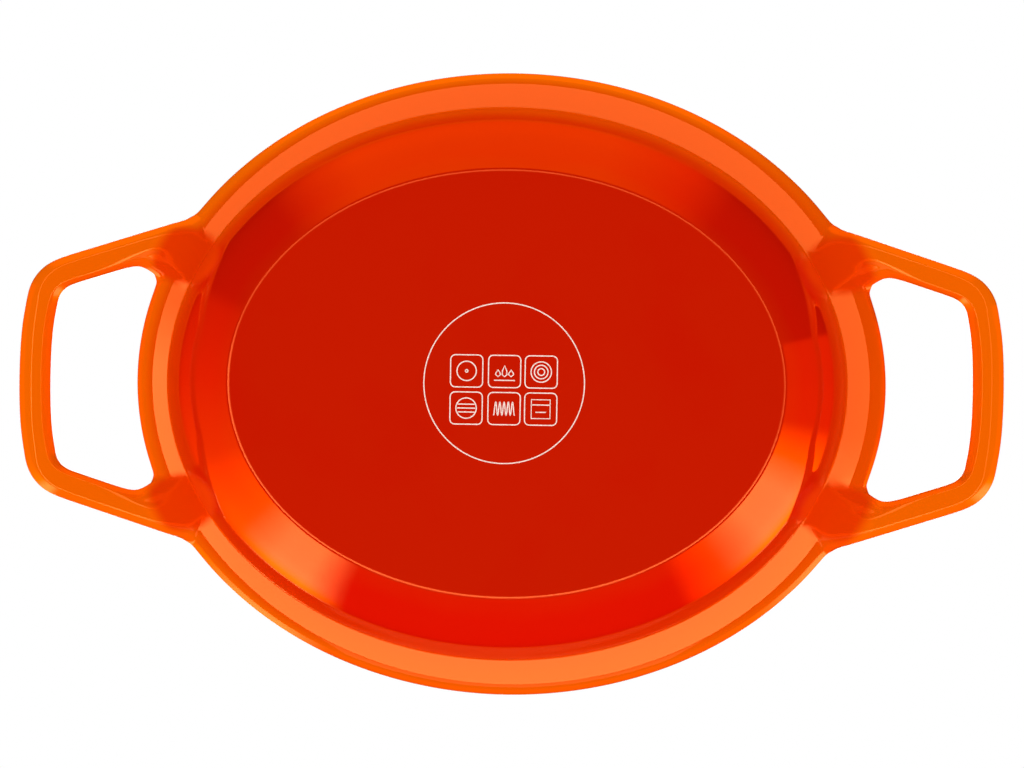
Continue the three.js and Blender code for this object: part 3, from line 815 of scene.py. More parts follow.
from_root = node(tree, "ShaderNodeVectorMath", {
    0: pressed, 1: ROOT_MIDDLE,
}, operation="DISTANCE").outputs["Value"]
# Mask of the painted shade: 1 in the corner where each handle leaves the lip, fading out round it.
painted_root_shade = node(tree, "ShaderNodeMapRange", {
    "Value": from_root, "From Min": ROOT_REACH, "From Max": ROOT_FADE, "To Min": 1.0, "To Max": 0.0,
}, interpolation_type="SMOOTHSTEP").outputs[0]
with_root_shade = node(tree, "ShaderNodeMix", {
    0: painted_root_shade, 6: with_edge, 7: linear(ROOT_SHADE_COLOUR),
}, data_type="RGBA").outputs[2]
to_handle = node(tree, "ShaderNodeMapRange", {
    "Value": away, "From Min": HANDLE_BAND[0], "From Max": HANDLE_BAND[1],
}, interpolation_type="SMOOTHSTEP").outputs[0]
colour = node(tree, "ShaderNodeMix", {
    0: to_handle, 6: with_root_shade, 7: linear(HANDLE_COLOUR),
}, data_type="RGBA").outputs[2]
# The gloss tint goes dark in the same corner: painted shade in the reflection.
gloss = node(tree, "ShaderNodeMix", {
    0: painted_root_shade, 6: linear(GLOSS_TINT), 7: linear(ROOT_SHADE_TINT),
}, data_type="RGBA").outputs[2]
peel = node(tree, "ShaderNodeTexNoise", {"Vector": where, "Scale": 1 / PEEL_GRAIN, "Detail": 2.0}).outputs[0]
wave = node(tree, "ShaderNodeTexNoise", {"Vector": where, "Scale": 1 / WAVE_GRAIN, "Detail": 1.0}).outputs[0]
on_handle = node(tree, "ShaderNodeMath", {0: wave, 1: to_handle}, operation="MULTIPLY").outputs[0]
uneven = node(tree, "ShaderNodeMath", {
    0: on_handle, 1: WAVE_DEPTH / PEEL_DEPTH, 2: peel,
}, operation="MULTIPLY_ADD").outputs[0]
ripple = node(tree, "ShaderNodeBump", {"Height": uneven, "Distance": PEEL_DEPTH}).outputs[0]
tree.links.new(colour, shader.inputs["Base Color"])
tree.links.new(gloss, shader.inputs["Specular Tint"])
tree.links.new(ripple, shader.inputs["Normal"])
print(pot_enamel.name, len(tree.nodes), "nodes")

# %% [markdown]
# ### Pale enamel and ground rim
# Inside, such pots have a pale enamel that shows how the food browns. The land that the lid rests on is
# the iron itself under a thin matt black coat, because glass there would chip.

# %% Pale enamel inside
STAIN_GRAIN = 30 * MM

inside_enamel, tree, shader, where = new_finish("pale_enamel", Roughness=0.16, IOR=1.5)
stain = node(tree, "ShaderNodeTexNoise", {
    "Vector": where, "Scale": 1 / STAIN_GRAIN, "Detail": 4.0,
}).outputs[0]
stain_ramp = node(tree, "ShaderNodeValToRGB", {0: stain})
set_ramp(stain_ramp, (0.3, "EDE4D2"), (0.7, "F1E9D9"))
peel = node(tree, "ShaderNodeTexNoise", {"Vector": where, "Scale": 1 / PEEL_GRAIN, "Detail": 2.0}).outputs[0]
ripple = node(tree, "ShaderNodeBump", {"Height": peel, "Distance": PEEL_DEPTH}).outputs[0]
tree.links.new(stain_ramp.outputs[0], shader.inputs["Base Color"])
tree.links.new(ripple, shader.inputs["Normal"])
print(inside_enamel.name, len(tree.nodes), "nodes")

# %% Matt black coat on the land
LAND_GRAIN = 0.9 * MM
LAND_DEPTH = 0.03 * MM

land_coat, tree, shader, where = new_finish("matt_black_coat", Roughness=0.55)
grit = node(tree, "ShaderNodeTexNoise", {"Vector": where, "Scale": 1 / LAND_GRAIN, "Detail": 3.0}).outputs[0]
grit_ramp = node(tree, "ShaderNodeValToRGB", {0: grit})
set_ramp(grit_ramp, (0.3, "1F1C1A"), (0.7, "35302C"))
grain = node(tree, "ShaderNodeBump", {"Height": grit, "Distance": LAND_DEPTH}).outputs[0]
tree.links.new(grit_ramp.outputs[0], shader.inputs["Base Color"])
tree.links.new(grain, shader.inputs["Normal"])
for finish in (pot_enamel, land_coat, inside_enamel):
    pot_mesh.materials.append(finish)
print("finishes of the pot:", [finish.name for finish in pot_mesh.materials])

# %% [markdown]
# ### Enamel of the lid
# The lid is sprayed in the same two colours: amber-orange at its edge, like the lip that it lies on, and
# redder towards the knob. Its plan distance from the middle drives the colour.

# %% Graded enamel of the lid
lid_enamel, tree, shader, where = new_finish("lid_enamel", Roughness=0.06, IOR=1.5, Specular_IOR_Level=1.0)
shader.inputs["Specular Tint"].default_value = linear(GLOSS_TINT)
plan = node(tree, "ShaderNodeVectorMath", {
    0: where, 1: (1 / rim_length, 1 / rim_radius, 0.0),
}, operation="MULTIPLY").outputs[0]
away = node(tree, "ShaderNodeVectorMath", {0: plan}, operation="LENGTH").outputs["Value"]
cloud = node(tree, "ShaderNodeTexNoise", {"Vector": where, "Scale": 1 / RUN_GRAIN, "Detail": 3.0}).outputs[0]
drift = node(tree, "ShaderNodeMapRange", {
    "Value": cloud, "From Min": CLOUD_RANGE[0], "From Max": CLOUD_RANGE[1],
    "To Min": -CLOUD_DRIFT, "To Max": CLOUD_DRIFT,
}).outputs[0]
graded = node(tree, "ShaderNodeMath", {0: away, 1: drift}, operation="ADD").outputs[0]
lid_ramp = node(tree, "ShaderNodeValToRGB", {0: graded})
set_ramp(lid_ramp, (0.15, "D42203"), (0.5, "DE3603"), (0.8, "EE5205"), (0.96, "F56A06"))
peel = node(tree, "ShaderNodeTexNoise", {"Vector": where, "Scale": 1 / PEEL_GRAIN, "Detail": 2.0}).outputs[0]
ripple = node(tree, "ShaderNodeBump", {"Height": peel, "Distance": PEEL_DEPTH}).outputs[0]
tree.links.new(lid_ramp.outputs[0], shader.inputs["Base Color"])
tree.links.new(ripple, shader.inputs["Normal"])
print(lid_enamel.name, len(tree.nodes), "nodes")

# %% [markdown]
# ### Steel, zinc and silicone of the knob
# The knob's cap and neck are stainless steel, turned and then brushed while they spin, so the scratches
# run round the axis. Distance from the axis, through a noise, gives rings of slightly different roughness
# and height. The fixings are zinc plated, and the ring under the knob is black silicone.

# %% Brushed stainless steel
BRUSH_SPACING = 0.35 * MM
BRUSH_DEPTH = 0.006 * MM

steel, tree, shader, where = new_finish("brushed_stainless", Metallic=1.0)
shader.inputs["Base Color"].default_value = linear("C9C6C1")
flat = node(tree, "ShaderNodeVectorMath", {0: where, 1: (1.0, 1.0, 0.0)}, operation="MULTIPLY").outputs[0]
from_axis = node(tree, "ShaderNodeVectorMath", {0: flat}, operation="LENGTH").outputs["Value"]
height = node(tree, "ShaderNodeSeparateXYZ", {0: where}).outputs["Z"]
along = node(tree, "ShaderNodeMath", {0: from_axis, 1: height}, operation="ADD").outputs[0]
scratch = node(tree, "ShaderNodeTexNoise", {
    "W": along, "Scale": 1 / BRUSH_SPACING, "Detail": 2.0,
}, noise_dimensions="1D").outputs[0]
rough = node(tree, "ShaderNodeMapRange", {"Value": scratch, "To Min": 0.16, "To Max": 0.34}).outputs[0]
lines_bump = node(tree, "ShaderNodeBump", {"Height": scratch, "Distance": BRUSH_DEPTH}).outputs[0]
tree.links.new(rough, shader.inputs["Roughness"])
tree.links.new(lines_bump, shader.inputs["Normal"])
print(steel.name, len(tree.nodes), "nodes")

# %% Zinc plate and silicone
ZINC_SPANGLE = 1.2 * MM
SILICONE_GRAIN = 0.5 * MM
SILICONE_DEPTH = 0.02 * MM

zinc, tree, shader, where = new_finish("zinc_plate", Metallic=1.0)
spangle = node(tree, "ShaderNodeTexVoronoi", {"Vector": where, "Scale": 1 / ZINC_SPANGLE}).outputs["Color"]
tone = node(tree, "ShaderNodeSeparateColor", {0: spangle}).outputs[0]
tone_ramp = node(tree, "ShaderNodeValToRGB", {0: tone})
set_ramp(tone_ramp, (0.0, "A3A6A8"), (1.0, "BEC1C2"))
rough = node(tree, "ShaderNodeMapRange", {"Value": tone, "To Min": 0.3, "To Max": 0.45}).outputs[0]
tree.links.new(tone_ramp.outputs[0], shader.inputs["Base Color"])
tree.links.new(rough, shader.inputs["Roughness"])

silicone, tree, shader, where = new_finish("black_silicone", Roughness=0.62)
grit = node(tree, "ShaderNodeTexNoise", {
    "Vector": where, "Scale": 1 / SILICONE_GRAIN, "Detail": 2.0,
}).outputs[0]
grit_ramp = node(tree, "ShaderNodeValToRGB", {0: grit})
set_ramp(grit_ramp, (0.3, "1E1D1D"), (0.7, "2C2B2A"))
grain = node(tree, "ShaderNodeBump", {"Height": grit, "Distance": SILICONE_DEPTH}).outputs[0]
tree.links.new(grit_ramp.outputs[0], shader.inputs["Base Color"])
tree.links.new(grain, shader.inputs["Normal"])
print(zinc.name, silicone.name)

# %% [markdown]
# ## Lid
# The lid doesn't show from below, so its shape is a common one: a border that lies on the lip, a shoulder,
# a low crown with a raised hub for the knob, and a skirt inside that keeps it centred. Heights in the
# profile count from the plane that the lid rests on.

# %% Lid casting
SEAT_GAP = 0.0003
LID_SETBACK = 0.003
LID_EDGE = 0.0055
LID_EDGE_ROUND = 0.0024
LID_WALL = 0.0045
LID_PLAY = 0.0016
BORDER_RISE = 0.0015
BORDER_ROUND = 0.0012
SHOULDER = 0.009
SHOULDER_ROUND = 0.01
SHOULDER_FILLET = 0.005
CROWN_RISE = 0.011
CROWN_BULGE = 0.0018
CROWN_BLEND = 0.26
SKIRT_DEPTH = 0.005
SKIRT_WIDTH = 0.0045
SKIRT_ROUND = 0.0016
HUB_RADIUS = 0.025
HUB_RISE = 0.0016
HUB_THICKNESS = 0.009
HUB_FILLET = 0.012
HUB_FOOT_ROUND = 0.002
HUB_TOP_ROUND = 0.0012
PAD_RADIUS = 0.011
PAD_ROUND = 0.001
SCREW_HOLE = 0.0034
LID_SIDES = 168

seat = pot_height + SEAT_GAP
lid_edge = rim_radius - LID_SETBACK
skirt_outer = mouth.x - SKIRT_DEPTH * tan(WALL_DRAFT) - LID_PLAY
skirt_inner = skirt_outer - SKIRT_WIDTH
shoulder_foot = Vector((skirt_outer + LID_WALL, seat + LID_EDGE + BORDER_RISE))
shoulder_top = shoulder_foot + Vector((-SHOULDER, SHOULDER))
hub_edge = Vector((HUB_RADIUS + HUB_RISE, shoulder_top.y + CROWN_RISE))
hub_top = hub_edge.y + HUB_RISE
pad = hub_top - HUB_THICKNESS
crown = shoulder_top.lerp(hub_edge, 0.5) + Vector((0.0, CROWN_BULGE))

under_side = rounded(
    (SCREW_HOLE, pad),
    (PAD_RADIUS, pad, PAD_ROUND, 2),
    (HUB_RADIUS, hub_edge.y - LID_WALL, HUB_FILLET, 3),
    (crown.x, crown.y - LID_WALL, CROWN_BLEND, 6),
    (skirt_inner, shoulder_top.y - LID_WALL, SHOULDER_FILLET, 4),
    (skirt_inner, seat - SKIRT_DEPTH, SKIRT_ROUND, 3),
    (skirt_outer, seat - SKIRT_DEPTH, SKIRT_ROUND, 3),
    (skirt_outer, seat),
)
upper_side = rounded(
    (skirt_outer, seat),
    (lid_edge, seat, BORDER_ROUND, 3),
    (lid_edge, seat + LID_EDGE, LID_EDGE_ROUND, 4),
    (shoulder_foot.x, shoulder_foot.y, SHOULDER_FILLET, 5),
    (shoulder_top.x, shoulder_top.y, SHOULDER_ROUND, 6),
    (crown.x, crown.y, CROWN_BLEND, 8),
    (hub_edge.x, hub_edge.y, HUB_FOOT_ROUND, 3),
    (HUB_RADIUS, hub_top, HUB_TOP_ROUND, 3),
    (SCREW_HOLE, hub_top),
)
lid_mesh = turned(
    "lid_casting", under_side + upper_side[1:], LID_SIDES, inside_enamel, lid_enamel, len(under_side),
    ring=True, stretch=oval_stretch, round_radius=hub_edge.x, full_radius=shoulder_top.x,
)
add_piece("lid_casting", lid_mesh, "lid", "lid_enamel", "lid")
print("lid top", hub_top, "and in the frame", lid_high.z)

# %% [markdown]
# ### Drip nubs
# Under the crown, two rings of small domes let the steam that gathers there fall back on the food. One
# dome is turned, and a second tree sets copies of it round two ovals.

# %% Tree that sets nubs in two ovals
NUB_RADIUS = 0.004
NUB_DROP = 0.004
NUB_BITE = 0.002
NUB_RINGS = {"inner": (0.3, 8), "outer": (0.68, 14)}

ring_inputs = {}
for ring_name in NUB_RINGS:
    ring_inputs[ring_name + "_count"] = "Int"
    for size in ("length", "width", "height"):
        ring_inputs[ring_name + "_" + size] = "Float"
nub_tree, given = new_tree("nubs_in_ovals", nub="Geometry", finish="Material", **ring_inputs)
join = node(nub_tree, "GeometryNodeJoinGeometry")
index = node(nub_tree, "GeometryNodeInputIndex").outputs[0]
for ring_name in NUB_RINGS:
    middle = node(nub_tree, "ShaderNodeMath", {0: index, 1: 0.5}, operation="ADD").outputs[0]
    step = node(nub_tree, "ShaderNodeMath", {
        0: 2 * pi, 1: given[ring_name + "_count"],
    }, operation="DIVIDE").outputs[0]
    angle = node(nub_tree, "ShaderNodeMath", {0: middle, 1: step}, operation="MULTIPLY").outputs[0]
    cosine = node(nub_tree, "ShaderNodeMath", {0: angle}, operation="COSINE").outputs[0]
    sine = node(nub_tree, "ShaderNodeMath", {0: angle}, operation="SINE").outputs[0]
    place = node(nub_tree, "ShaderNodeCombineXYZ", {
        "X": node(nub_tree, "ShaderNodeMath", {
            0: cosine, 1: given[ring_name + "_length"],
        }, operation="MULTIPLY").outputs[0],
        "Y": node(nub_tree, "ShaderNodeMath", {
            0: sine, 1: given[ring_name + "_width"],
        }, operation="MULTIPLY").outputs[0],
        "Z": given[ring_name + "_height"],
    }).outputs[0]
    spots = node(nub_tree, "GeometryNodePoints", {
        "Count": given[ring_name + "_count"], "Position": place,
    }).outputs[0]
    copies = node(nub_tree, "GeometryNodeInstanceOnPoints", {
        "Points": spots, "Instance": given["nub"],
    }).outputs[0]
    nub_tree.links.new(copies, join.inputs[0])
real = node(nub_tree, "GeometryNodeRealizeInstances", {"Geometry": join.outputs[0]}).outputs[0]
coated = node(nub_tree, "GeometryNodeSetMaterial", {"Geometry": real, "Material": given["finish"]}).outputs[0]
node(nub_tree, "NodeGroupOutput", {0: coated})
print(nub_tree.name, len(nub_tree.nodes), "nodes")

# %% Drip nubs
NUB_TIP = 0.6
NUB_SIDES = 16

nub_profile = rounded(
    (0.0, -NUB_DROP),
    (NUB_RADIUS * NUB_TIP, -NUB_DROP, NUB_RADIUS * NUB_TIP, 4),
    (NUB_RADIUS, 0.0),
    (NUB_RADIUS, NUB_BITE),
    (0.0, NUB_BITE),
)
ring_sizes = {}
for ring_name, (place, number) in NUB_RINGS.items():
    radius = HUB_RADIUS + (skirt_inner - HUB_RADIUS) * place
    out = (radius - hub_edge.x) / (shoulder_top.x - hub_edge.x)
    bulge = CROWN_BULGE * (1 - abs(2 * place - 1))
    ring_sizes[ring_name + "_count"] = number
    ring_sizes[ring_name + "_length"] = radius + oval_stretch * out
    ring_sizes[ring_name + "_width"] = radius
    ring_sizes[ring_name + "_height"] = hub_edge.y + (shoulder_top.y - hub_edge.y) * place - LID_WALL + bulge
one_nub = turned("nub", nub_profile, NUB_SIDES, inside_enamel)
nubs = settle("drip_nubs", one_nub, nub_tree, finish=inside_enamel, **ring_sizes)
add_piece("drip_nubs", nubs, "lid", "lid_enamel")
print("drip nubs:", len(nubs.polygons), "faces")

# %% [markdown]
# ## Knob
# A hollow steel cap sits on a turned neck, on a silicone ring that spares the enamel. All three are turned.
# Their heights count from the top of the lid's hub. The nut, the screw and the washers are small and mostly
# hidden, so they keep their CAD shapes and only get a finish.

# %% Knob: ring, neck and cap
STACK_GAP = 0.0002
GASKET_RADIUS = 0.013
GASKET_THICKNESS = 0.0015
GASKET_ROUND = 0.0005
NECK_HEIGHT = 0.013
NECK_FOOT = 0.0115
NECK_FOOT_EDGE = 0.0018
NECK_FOOT_ROUND = 0.0006
NECK_WAIST = 0.0085
NECK_WAIST_RISE = 0.0044
NECK_WAIST_FILLET = 0.003
NECK_CAP_FILLET = 0.0035
NECK_CAP = 0.0024
KNOB_RADIUS = 0.0225
KNOB_HEIGHT = 0.017
KNOB_CROWN = 0.003
KNOB_SHELL = 0.0016
KNOB_LIP_ROUND = 0.0006
KNOB_SHOULDER = 0.0062
KNOB_INNER_SHOULDER = 0.0054
SHELL_GAP = 0.0002
TURNED_EDGE = 0.0004
NUT_HOLE = 0.0056
NUT_DEPTH = 0.0112
KNOB_SIDES = 72

gasket_low = hub_top + STACK_GAP
gasket_high = gasket_low + GASKET_THICKNESS
neck_low = gasket_high + STACK_GAP
neck_high = neck_low + NECK_HEIGHT
cap_low = neck_high - NECK_CAP
cap_high = cap_low + KNOB_HEIGHT
cap_inside = KNOB_RADIUS - KNOB_SHELL
ring_profile = rounded(
    (SCREW_HOLE, gasket_low),
    (GASKET_RADIUS, gasket_low, GASKET_ROUND, 2),
    (GASKET_RADIUS, gasket_high, GASKET_ROUND, 2),
    (SCREW_HOLE, gasket_high),
)
neck_profile = rounded(
    (SCREW_HOLE, neck_low),
    (NECK_FOOT, neck_low, TURNED_EDGE, 2),
    (NECK_FOOT, neck_low + NECK_FOOT_EDGE, NECK_FOOT_ROUND, 3),
    (NECK_WAIST, neck_low + NECK_WAIST_RISE, NECK_WAIST_FILLET, 4),
    (NECK_WAIST, cap_low, NECK_CAP_FILLET, 5),
    (cap_inside - SHELL_GAP, cap_low, TURNED_EDGE, 2),
    (cap_inside - SHELL_GAP, neck_high),
    (NUT_HOLE, neck_high),
    (NUT_HOLE, neck_high - NUT_DEPTH),
    (SCREW_HOLE, neck_high - NUT_DEPTH),
)
cap_profile = rounded(
    (0.0, cap_high - KNOB_SHELL),
    (cap_inside / 2, cap_high - KNOB_SHELL, KNOB_RADIUS, 3),
    (cap_inside, cap_high - KNOB_CROWN - KNOB_SHELL, KNOB_INNER_SHOULDER, 5),
    (cap_inside, cap_low, TURNED_EDGE, 2),
    (KNOB_RADIUS, cap_low, KNOB_LIP_ROUND, 3),
    (KNOB_RADIUS, cap_high - KNOB_CROWN, KNOB_SHOULDER, 8),
    (KNOB_RADIUS / 2, cap_high, KNOB_RADIUS, 5),
    (0.0, cap_high),
)
ring_mesh = turned("knob_ring", ring_profile, KNOB_SIDES, silicone, ring=True)
neck_mesh = turned("knob_stem", neck_profile, KNOB_SIDES, steel, ring=True)
cap_mesh = turned("knob_cap", cap_profile, KNOB_SIDES, steel)
add_piece("knob_ring", ring_mesh, "lid", "silicone", "knob_gasket")
add_piece("knob_stem", neck_mesh, "lid", "knob_steel", "knob_neck")
add_piece("knob_cap", cap_mesh, "lid", "knob_steel", "knob_shell")
fixings = {"knob_nut": zinc, "knob_screw": steel, "flat_washer": steel, "spring_washer": zinc}
for name, finish in fixings.items():
    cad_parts[name].data.materials.clear()
    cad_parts[name].data.materials.append(finish)
print("knob top", cap_high)

# %% [markdown]
# ## Print on the base
# A thin ring is printed on the base, round two rows of framed signs for the hobs that such a pot suits.
# The signs here are plain ones of this script's own: plate, flames, rings, bars, coil and oven. Each is a
# line, so a tree that gives a line the width and thickness of the ink makes the whole print. The signs are
# drawn in millimetres.

# %% Tree that prints lines
printing, given = new_tree("printed_lines", lines="Geometry", width="Float", ink="Float", finish="Material")
paths = node(printing, "GeometryNodeMeshToCurve", {"Mesh": given["lines"]}).outputs[0]
upright = node(printing, "GeometryNodeSetCurveNormal", {"Curve": paths}).outputs[0]
stroke = node(printing, "GeometryNodeCurvePrimitiveQuadrilateral", {
    "Width": given["width"], "Height": given["ink"],
}).outputs[0]
inked = node(printing, "GeometryNodeCurveToMesh", {
    "Curve": upright, "Profile Curve": stroke, "Fill Caps": True,
}).outputs[0]
real = node(printing, "GeometryNodeRealizeInstances", {"Geometry": inked}).outputs[0]
coated = node(printing, "GeometryNodeSetMaterial", {"Geometry": real, "Material": given["finish"]}).outputs[0]
node(printing, "NodeGroupOutput", {0: coated})
print(printing.name, len(printing.nodes), "nodes")

# %% Ink
INK_GRAIN = 0.8 * MM

ink, tree, shader, where = new_finish("printed_ink", Roughness=0.4)
speck = node(tree, "ShaderNodeTexNoise", {"Vector": where, "Scale": 1 / INK_GRAIN, "Detail": 2.0}).outputs[0]
speck_ramp = node(tree, "ShaderNodeValToRGB", {0: speck})
set_ramp(speck_ramp, (0.25, "E9B9A4"), (0.55, "F6E2D6"))
tree.links.new(speck_ramp.outputs[0], shader.inputs["Base Color"])
print(ink.name)

# %% Signs
RING_RADIUS = 0.0307
RING_MIDDLE = (-0.0025, -0.0002)
SIGN_SIDE = 0.0123
SIGN_ROUND = 0.0018
SIGN_COLUMNS = (-0.0169, -0.0024, 0.0116)
SIGN_ROWS = (-0.0047, 0.0095)
LINE_WIDTH = 0.00042
INK_THICKNESS = 0.00004

PLATE_RADIUS, DOT_RADIUS = 3.7, 0.5
HOB_RINGS = (1.3, 2.6, 3.9)
FLAMES = ((-2.5, 2.6), (0.0, 4.2), (2.5, 2.6))
FLAME_FOOT, FLAME_WIDTH, FLAME_NECK = 2.0, 0.95, 0.8
FLAME_BELLY, FLAME_NECK_SHARE = 1.2, 0.55
BURNER_HALF, BURNER_PLACE = 4.0, 3.4
BARS_RADIUS = 3.9
BARS = ((-1.5, 3.2), (0.0, 3.5), (1.5, 3.2))
COIL_HALF, COIL_HEIGHT, COIL_STEPS, TURN_STEPS = 4.0, 2.6, 60, 12
OVEN_HALF, OVEN_SHELF, OVEN_GRILL = 3.6, -1.6, (2.0, 1.2)

strokes = []


def draw(points, at=(0.0, 0.0), close=False):
    """Note one printed line, with its points in millimetres round a middle in metres."""
    strokes.append(([Vector((at[0] + x * MM, at[1] + y * MM)) for x, y in points], close))


def circle(radius, sides=40):
    angles = [2 * pi * step / sides for step in range(sides)]
    return [(radius * cos(angle), radius * sin(angle)) for angle in angles]


def frame_line(side, round_radius):
    """A square with rounded corners, which starts and ends in the middle of its top side."""
    edge, bend = side / MM / 2, round_radius / MM
    corners = [(edge, -edge, bend, 4), (edge, edge, bend, 4), (-edge, edge, bend, 4), (-edge, -edge, bend, 4)]
    return [tuple(point) for point in rounded((0.0, -edge), *corners, (0.0, -edge))[:-1]]


draw(circle(RING_RADIUS / MM, 120), RING_MIDDLE, close=True)
places = [(column, row) for row in SIGN_ROWS for column in SIGN_COLUMNS]
for place in places:
    draw(frame_line(SIGN_SIDE, SIGN_ROUND), place, close=True)
plate, flames, rings, bars, coil, oven = places
draw(circle(PLATE_RADIUS), plate, close=True)
draw(circle(DOT_RADIUS, 12), plate, close=True)
for radius in HOB_RINGS:
    draw(circle(radius), rings, close=True)
for middle, tall in FLAMES:
    neck = FLAME_FOOT - tall * FLAME_NECK_SHARE
    flame = [
        (0.0, FLAME_FOOT - tall), (FLAME_NECK, neck), (FLAME_WIDTH, FLAME_BELLY),
        (0.0, FLAME_FOOT), (-FLAME_WIDTH, FLAME_BELLY), (-FLAME_NECK, neck),
    ]
    draw([(middle + x, y) for x, y in flame], flames, close=True)
draw([(-BURNER_HALF, BURNER_PLACE), (BURNER_HALF, BURNER_PLACE)], flames)
draw(circle(BARS_RADIUS), bars, close=True)
for height, reach in BARS:
    draw([(-reach, height), (reach, height)], bars)
winding = [
    (-COIL_HALF + 2 * COIL_HALF * step / COIL_STEPS, COIL_HEIGHT * cos(2 * pi * step / TURN_STEPS))
    for step in range(COIL_STEPS + 1)
]
draw(winding, coil)
oven_corners = [
    (-OVEN_HALF, -OVEN_HALF), (OVEN_HALF, -OVEN_HALF), (OVEN_HALF, OVEN_HALF), (-OVEN_HALF, OVEN_HALF),
]
draw(oven_corners, oven, close=True)
draw([(-OVEN_HALF, OVEN_SHELF), (OVEN_HALF, OVEN_SHELF)], oven)
draw([(-OVEN_GRILL[0], OVEN_GRILL[1]), OVEN_GRILL], oven)
print(len(strokes), "printed lines")

# %% Print the signs
line_points, line_edges = [], []
for points, close in strokes:
    start = len(line_points)
    line_points += [Vector((point.x, point.y, -INK_THICKNESS / 4)) for point in points]
    line_edges += [(start + step, start + step + 1) for step in range(len(points) - 1)]
    if close:
        line_edges.append((len(line_points) - 1, start))
print_lines = bpy.data.meshes.new("print_lines")
print_lines.from_pydata(line_points, line_edges, [])
print_mesh = settle("base_print", print_lines, printing, width=LINE_WIDTH, ink=INK_THICKNESS, finish=ink)
add_piece("base_print", print_mesh, "pot", "pot_enamel")
print("base print:", len(print_mesh.polygons), "faces")

# %% [markdown]
# ## Floor
# The pot stands on a pale floor, but the photograph is taken from below it. So the floor has one side. Seen
# from above it is paper, which shows in the gloss too. From below it is clear, and it stays clear for every
# ray that has come through it. It neither shades the pot nor throws light back at it.

# %% Floor that is clear from below
FLOOR_SIDE = 8.0
FLOOR_DROP = 0.0005
PAPER_GRAIN = 4 * MM

floor_mesh = bpy.data.meshes.new("floor")
corner = FLOOR_SIDE / 2
floor_mesh.from_pydata(
    [(-corner, -corner, -FLOOR_DROP), (corner, -corner, -FLOOR_DROP),
     (corner, corner, -FLOOR_DROP), (-corner, corner, -FLOOR_DROP)], [], [(0, 1, 2, 3)],
)
floor_paper, tree, shader, where = new_finish("pale_paper", Roughness=0.9)
fibre = node(tree, "ShaderNodeTexNoise", {
    "Vector": where, "Scale": 1 / PAPER_GRAIN, "Detail": 2.0,
}).outputs[0]
fibre_ramp = node(tree, "ShaderNodeValToRGB", {0: fibre})
set_ramp(fibre_ramp, (0.3, "F1F0EE"), (0.7, "F6F5F3"))
tree.links.new(fibre_ramp.outputs[0], shader.inputs["Base Color"])
from_below = node(tree, "ShaderNodeNewGeometry").outputs["Backfacing"]
crossed = node(tree, "ShaderNodeLightPath").outputs["Transparent Depth"]
open_floor = node(tree, "ShaderNodeMath", {
    0: from_below, 1: crossed,
}, operation="ADD", use_clamp=True).outputs[0]
clear = node(tree, "ShaderNodeBsdfTransparent").outputs[0]
one_way = node(tree, "ShaderNodeMixShader", {0: open_floor, 1: shader.outputs[0], 2: clear}).outputs[0]
tree.links.new(one_way, tree.nodes["Material Output"].inputs["Surface"])
floor_mesh.materials.append(floor_paper)
floor = bpy.data.objects.new("floor", floor_mesh)
scene.collection.objects.link(floor)
for ray in ("diffuse", "transmission", "shadow"):
    setattr(floor, "visible_" + ray, False)
print("floor", FLOOR_SIDE, "m square")

# %% [markdown]
# ## Studio light
# The background is white, and an even light fills the pot. What its gloss mirrors is another matter. The
# photograph's lights stand on the side that it was taken from, so only gloss seen through the floor mirrors
# them, and Is Glossy Ray with Transparent Depth picks that out. Straight below it is dark, so the flat base
# shows its pure red. A pale ring lies round that, which veils the sloping underside of the lip. Level with
# the pot stand bright screens with dark gaps, set to give the wall its soft patches and its sharp dark
# panels.
# Gloss seen from above mirrors the plain white room.

# %% World
BRIGHTEST_SCREEN = 9.0
RING_BRIGHTNESS = 8.2
FILL_BRIGHTNESS = 1.08
SCREENS = (
    (0.0, "843800"), (0.03, "843800"), (0.059, "FFB000"), (0.085, "FFFFFF"), (0.115, "FFFFFF"),
    (0.146, "FF8000"), (0.172, "700000"), (0.322, "700000"), (0.342, "FFFFFF"), (0.362, "FFFFFF"),
    (0.388, "FFA000"), (0.44, "985C00"), (0.5, "843800"), (0.559, "682800"), (0.571, "080400"),
    (0.634, "080400"), (0.654, "704400"), (0.68, "906800"), (0.79, "906800"), (0.83, "804000"),
    (0.855, "080200"), (0.957, "080200"), (0.96, "803400"),
)
SCREEN_FADE = (
    (0.4, "000000"), (0.46, "FFD790"), (0.6, "FFB970"), (0.7, "ED9E59"), (0.8, "E78647"),
    (0.88, "D3690A"), (0.94, "804008"), (1.0, "402004"),
)
RING_FADE = (
    (0.006, "080808"), (0.018, "FFFFFF"), (0.085, "FFFFFF"), (0.11, "2B1604"), (0.4, "2B1604"),
    (0.46, "000000"),
)
RING_SIDES = ((0.03, "B4B4B4"), (0.09, "FFFFFF"), (0.51, "FFFFFF"), (0.55, "B4B4B4"))
FILL_FADE = ((0.0, "E8E8E8"), (0.35, "F4F4F4"), (0.55, "FFFFFF"), (0.75, "F0F0F0"), (1.0, "D8D8D8"))

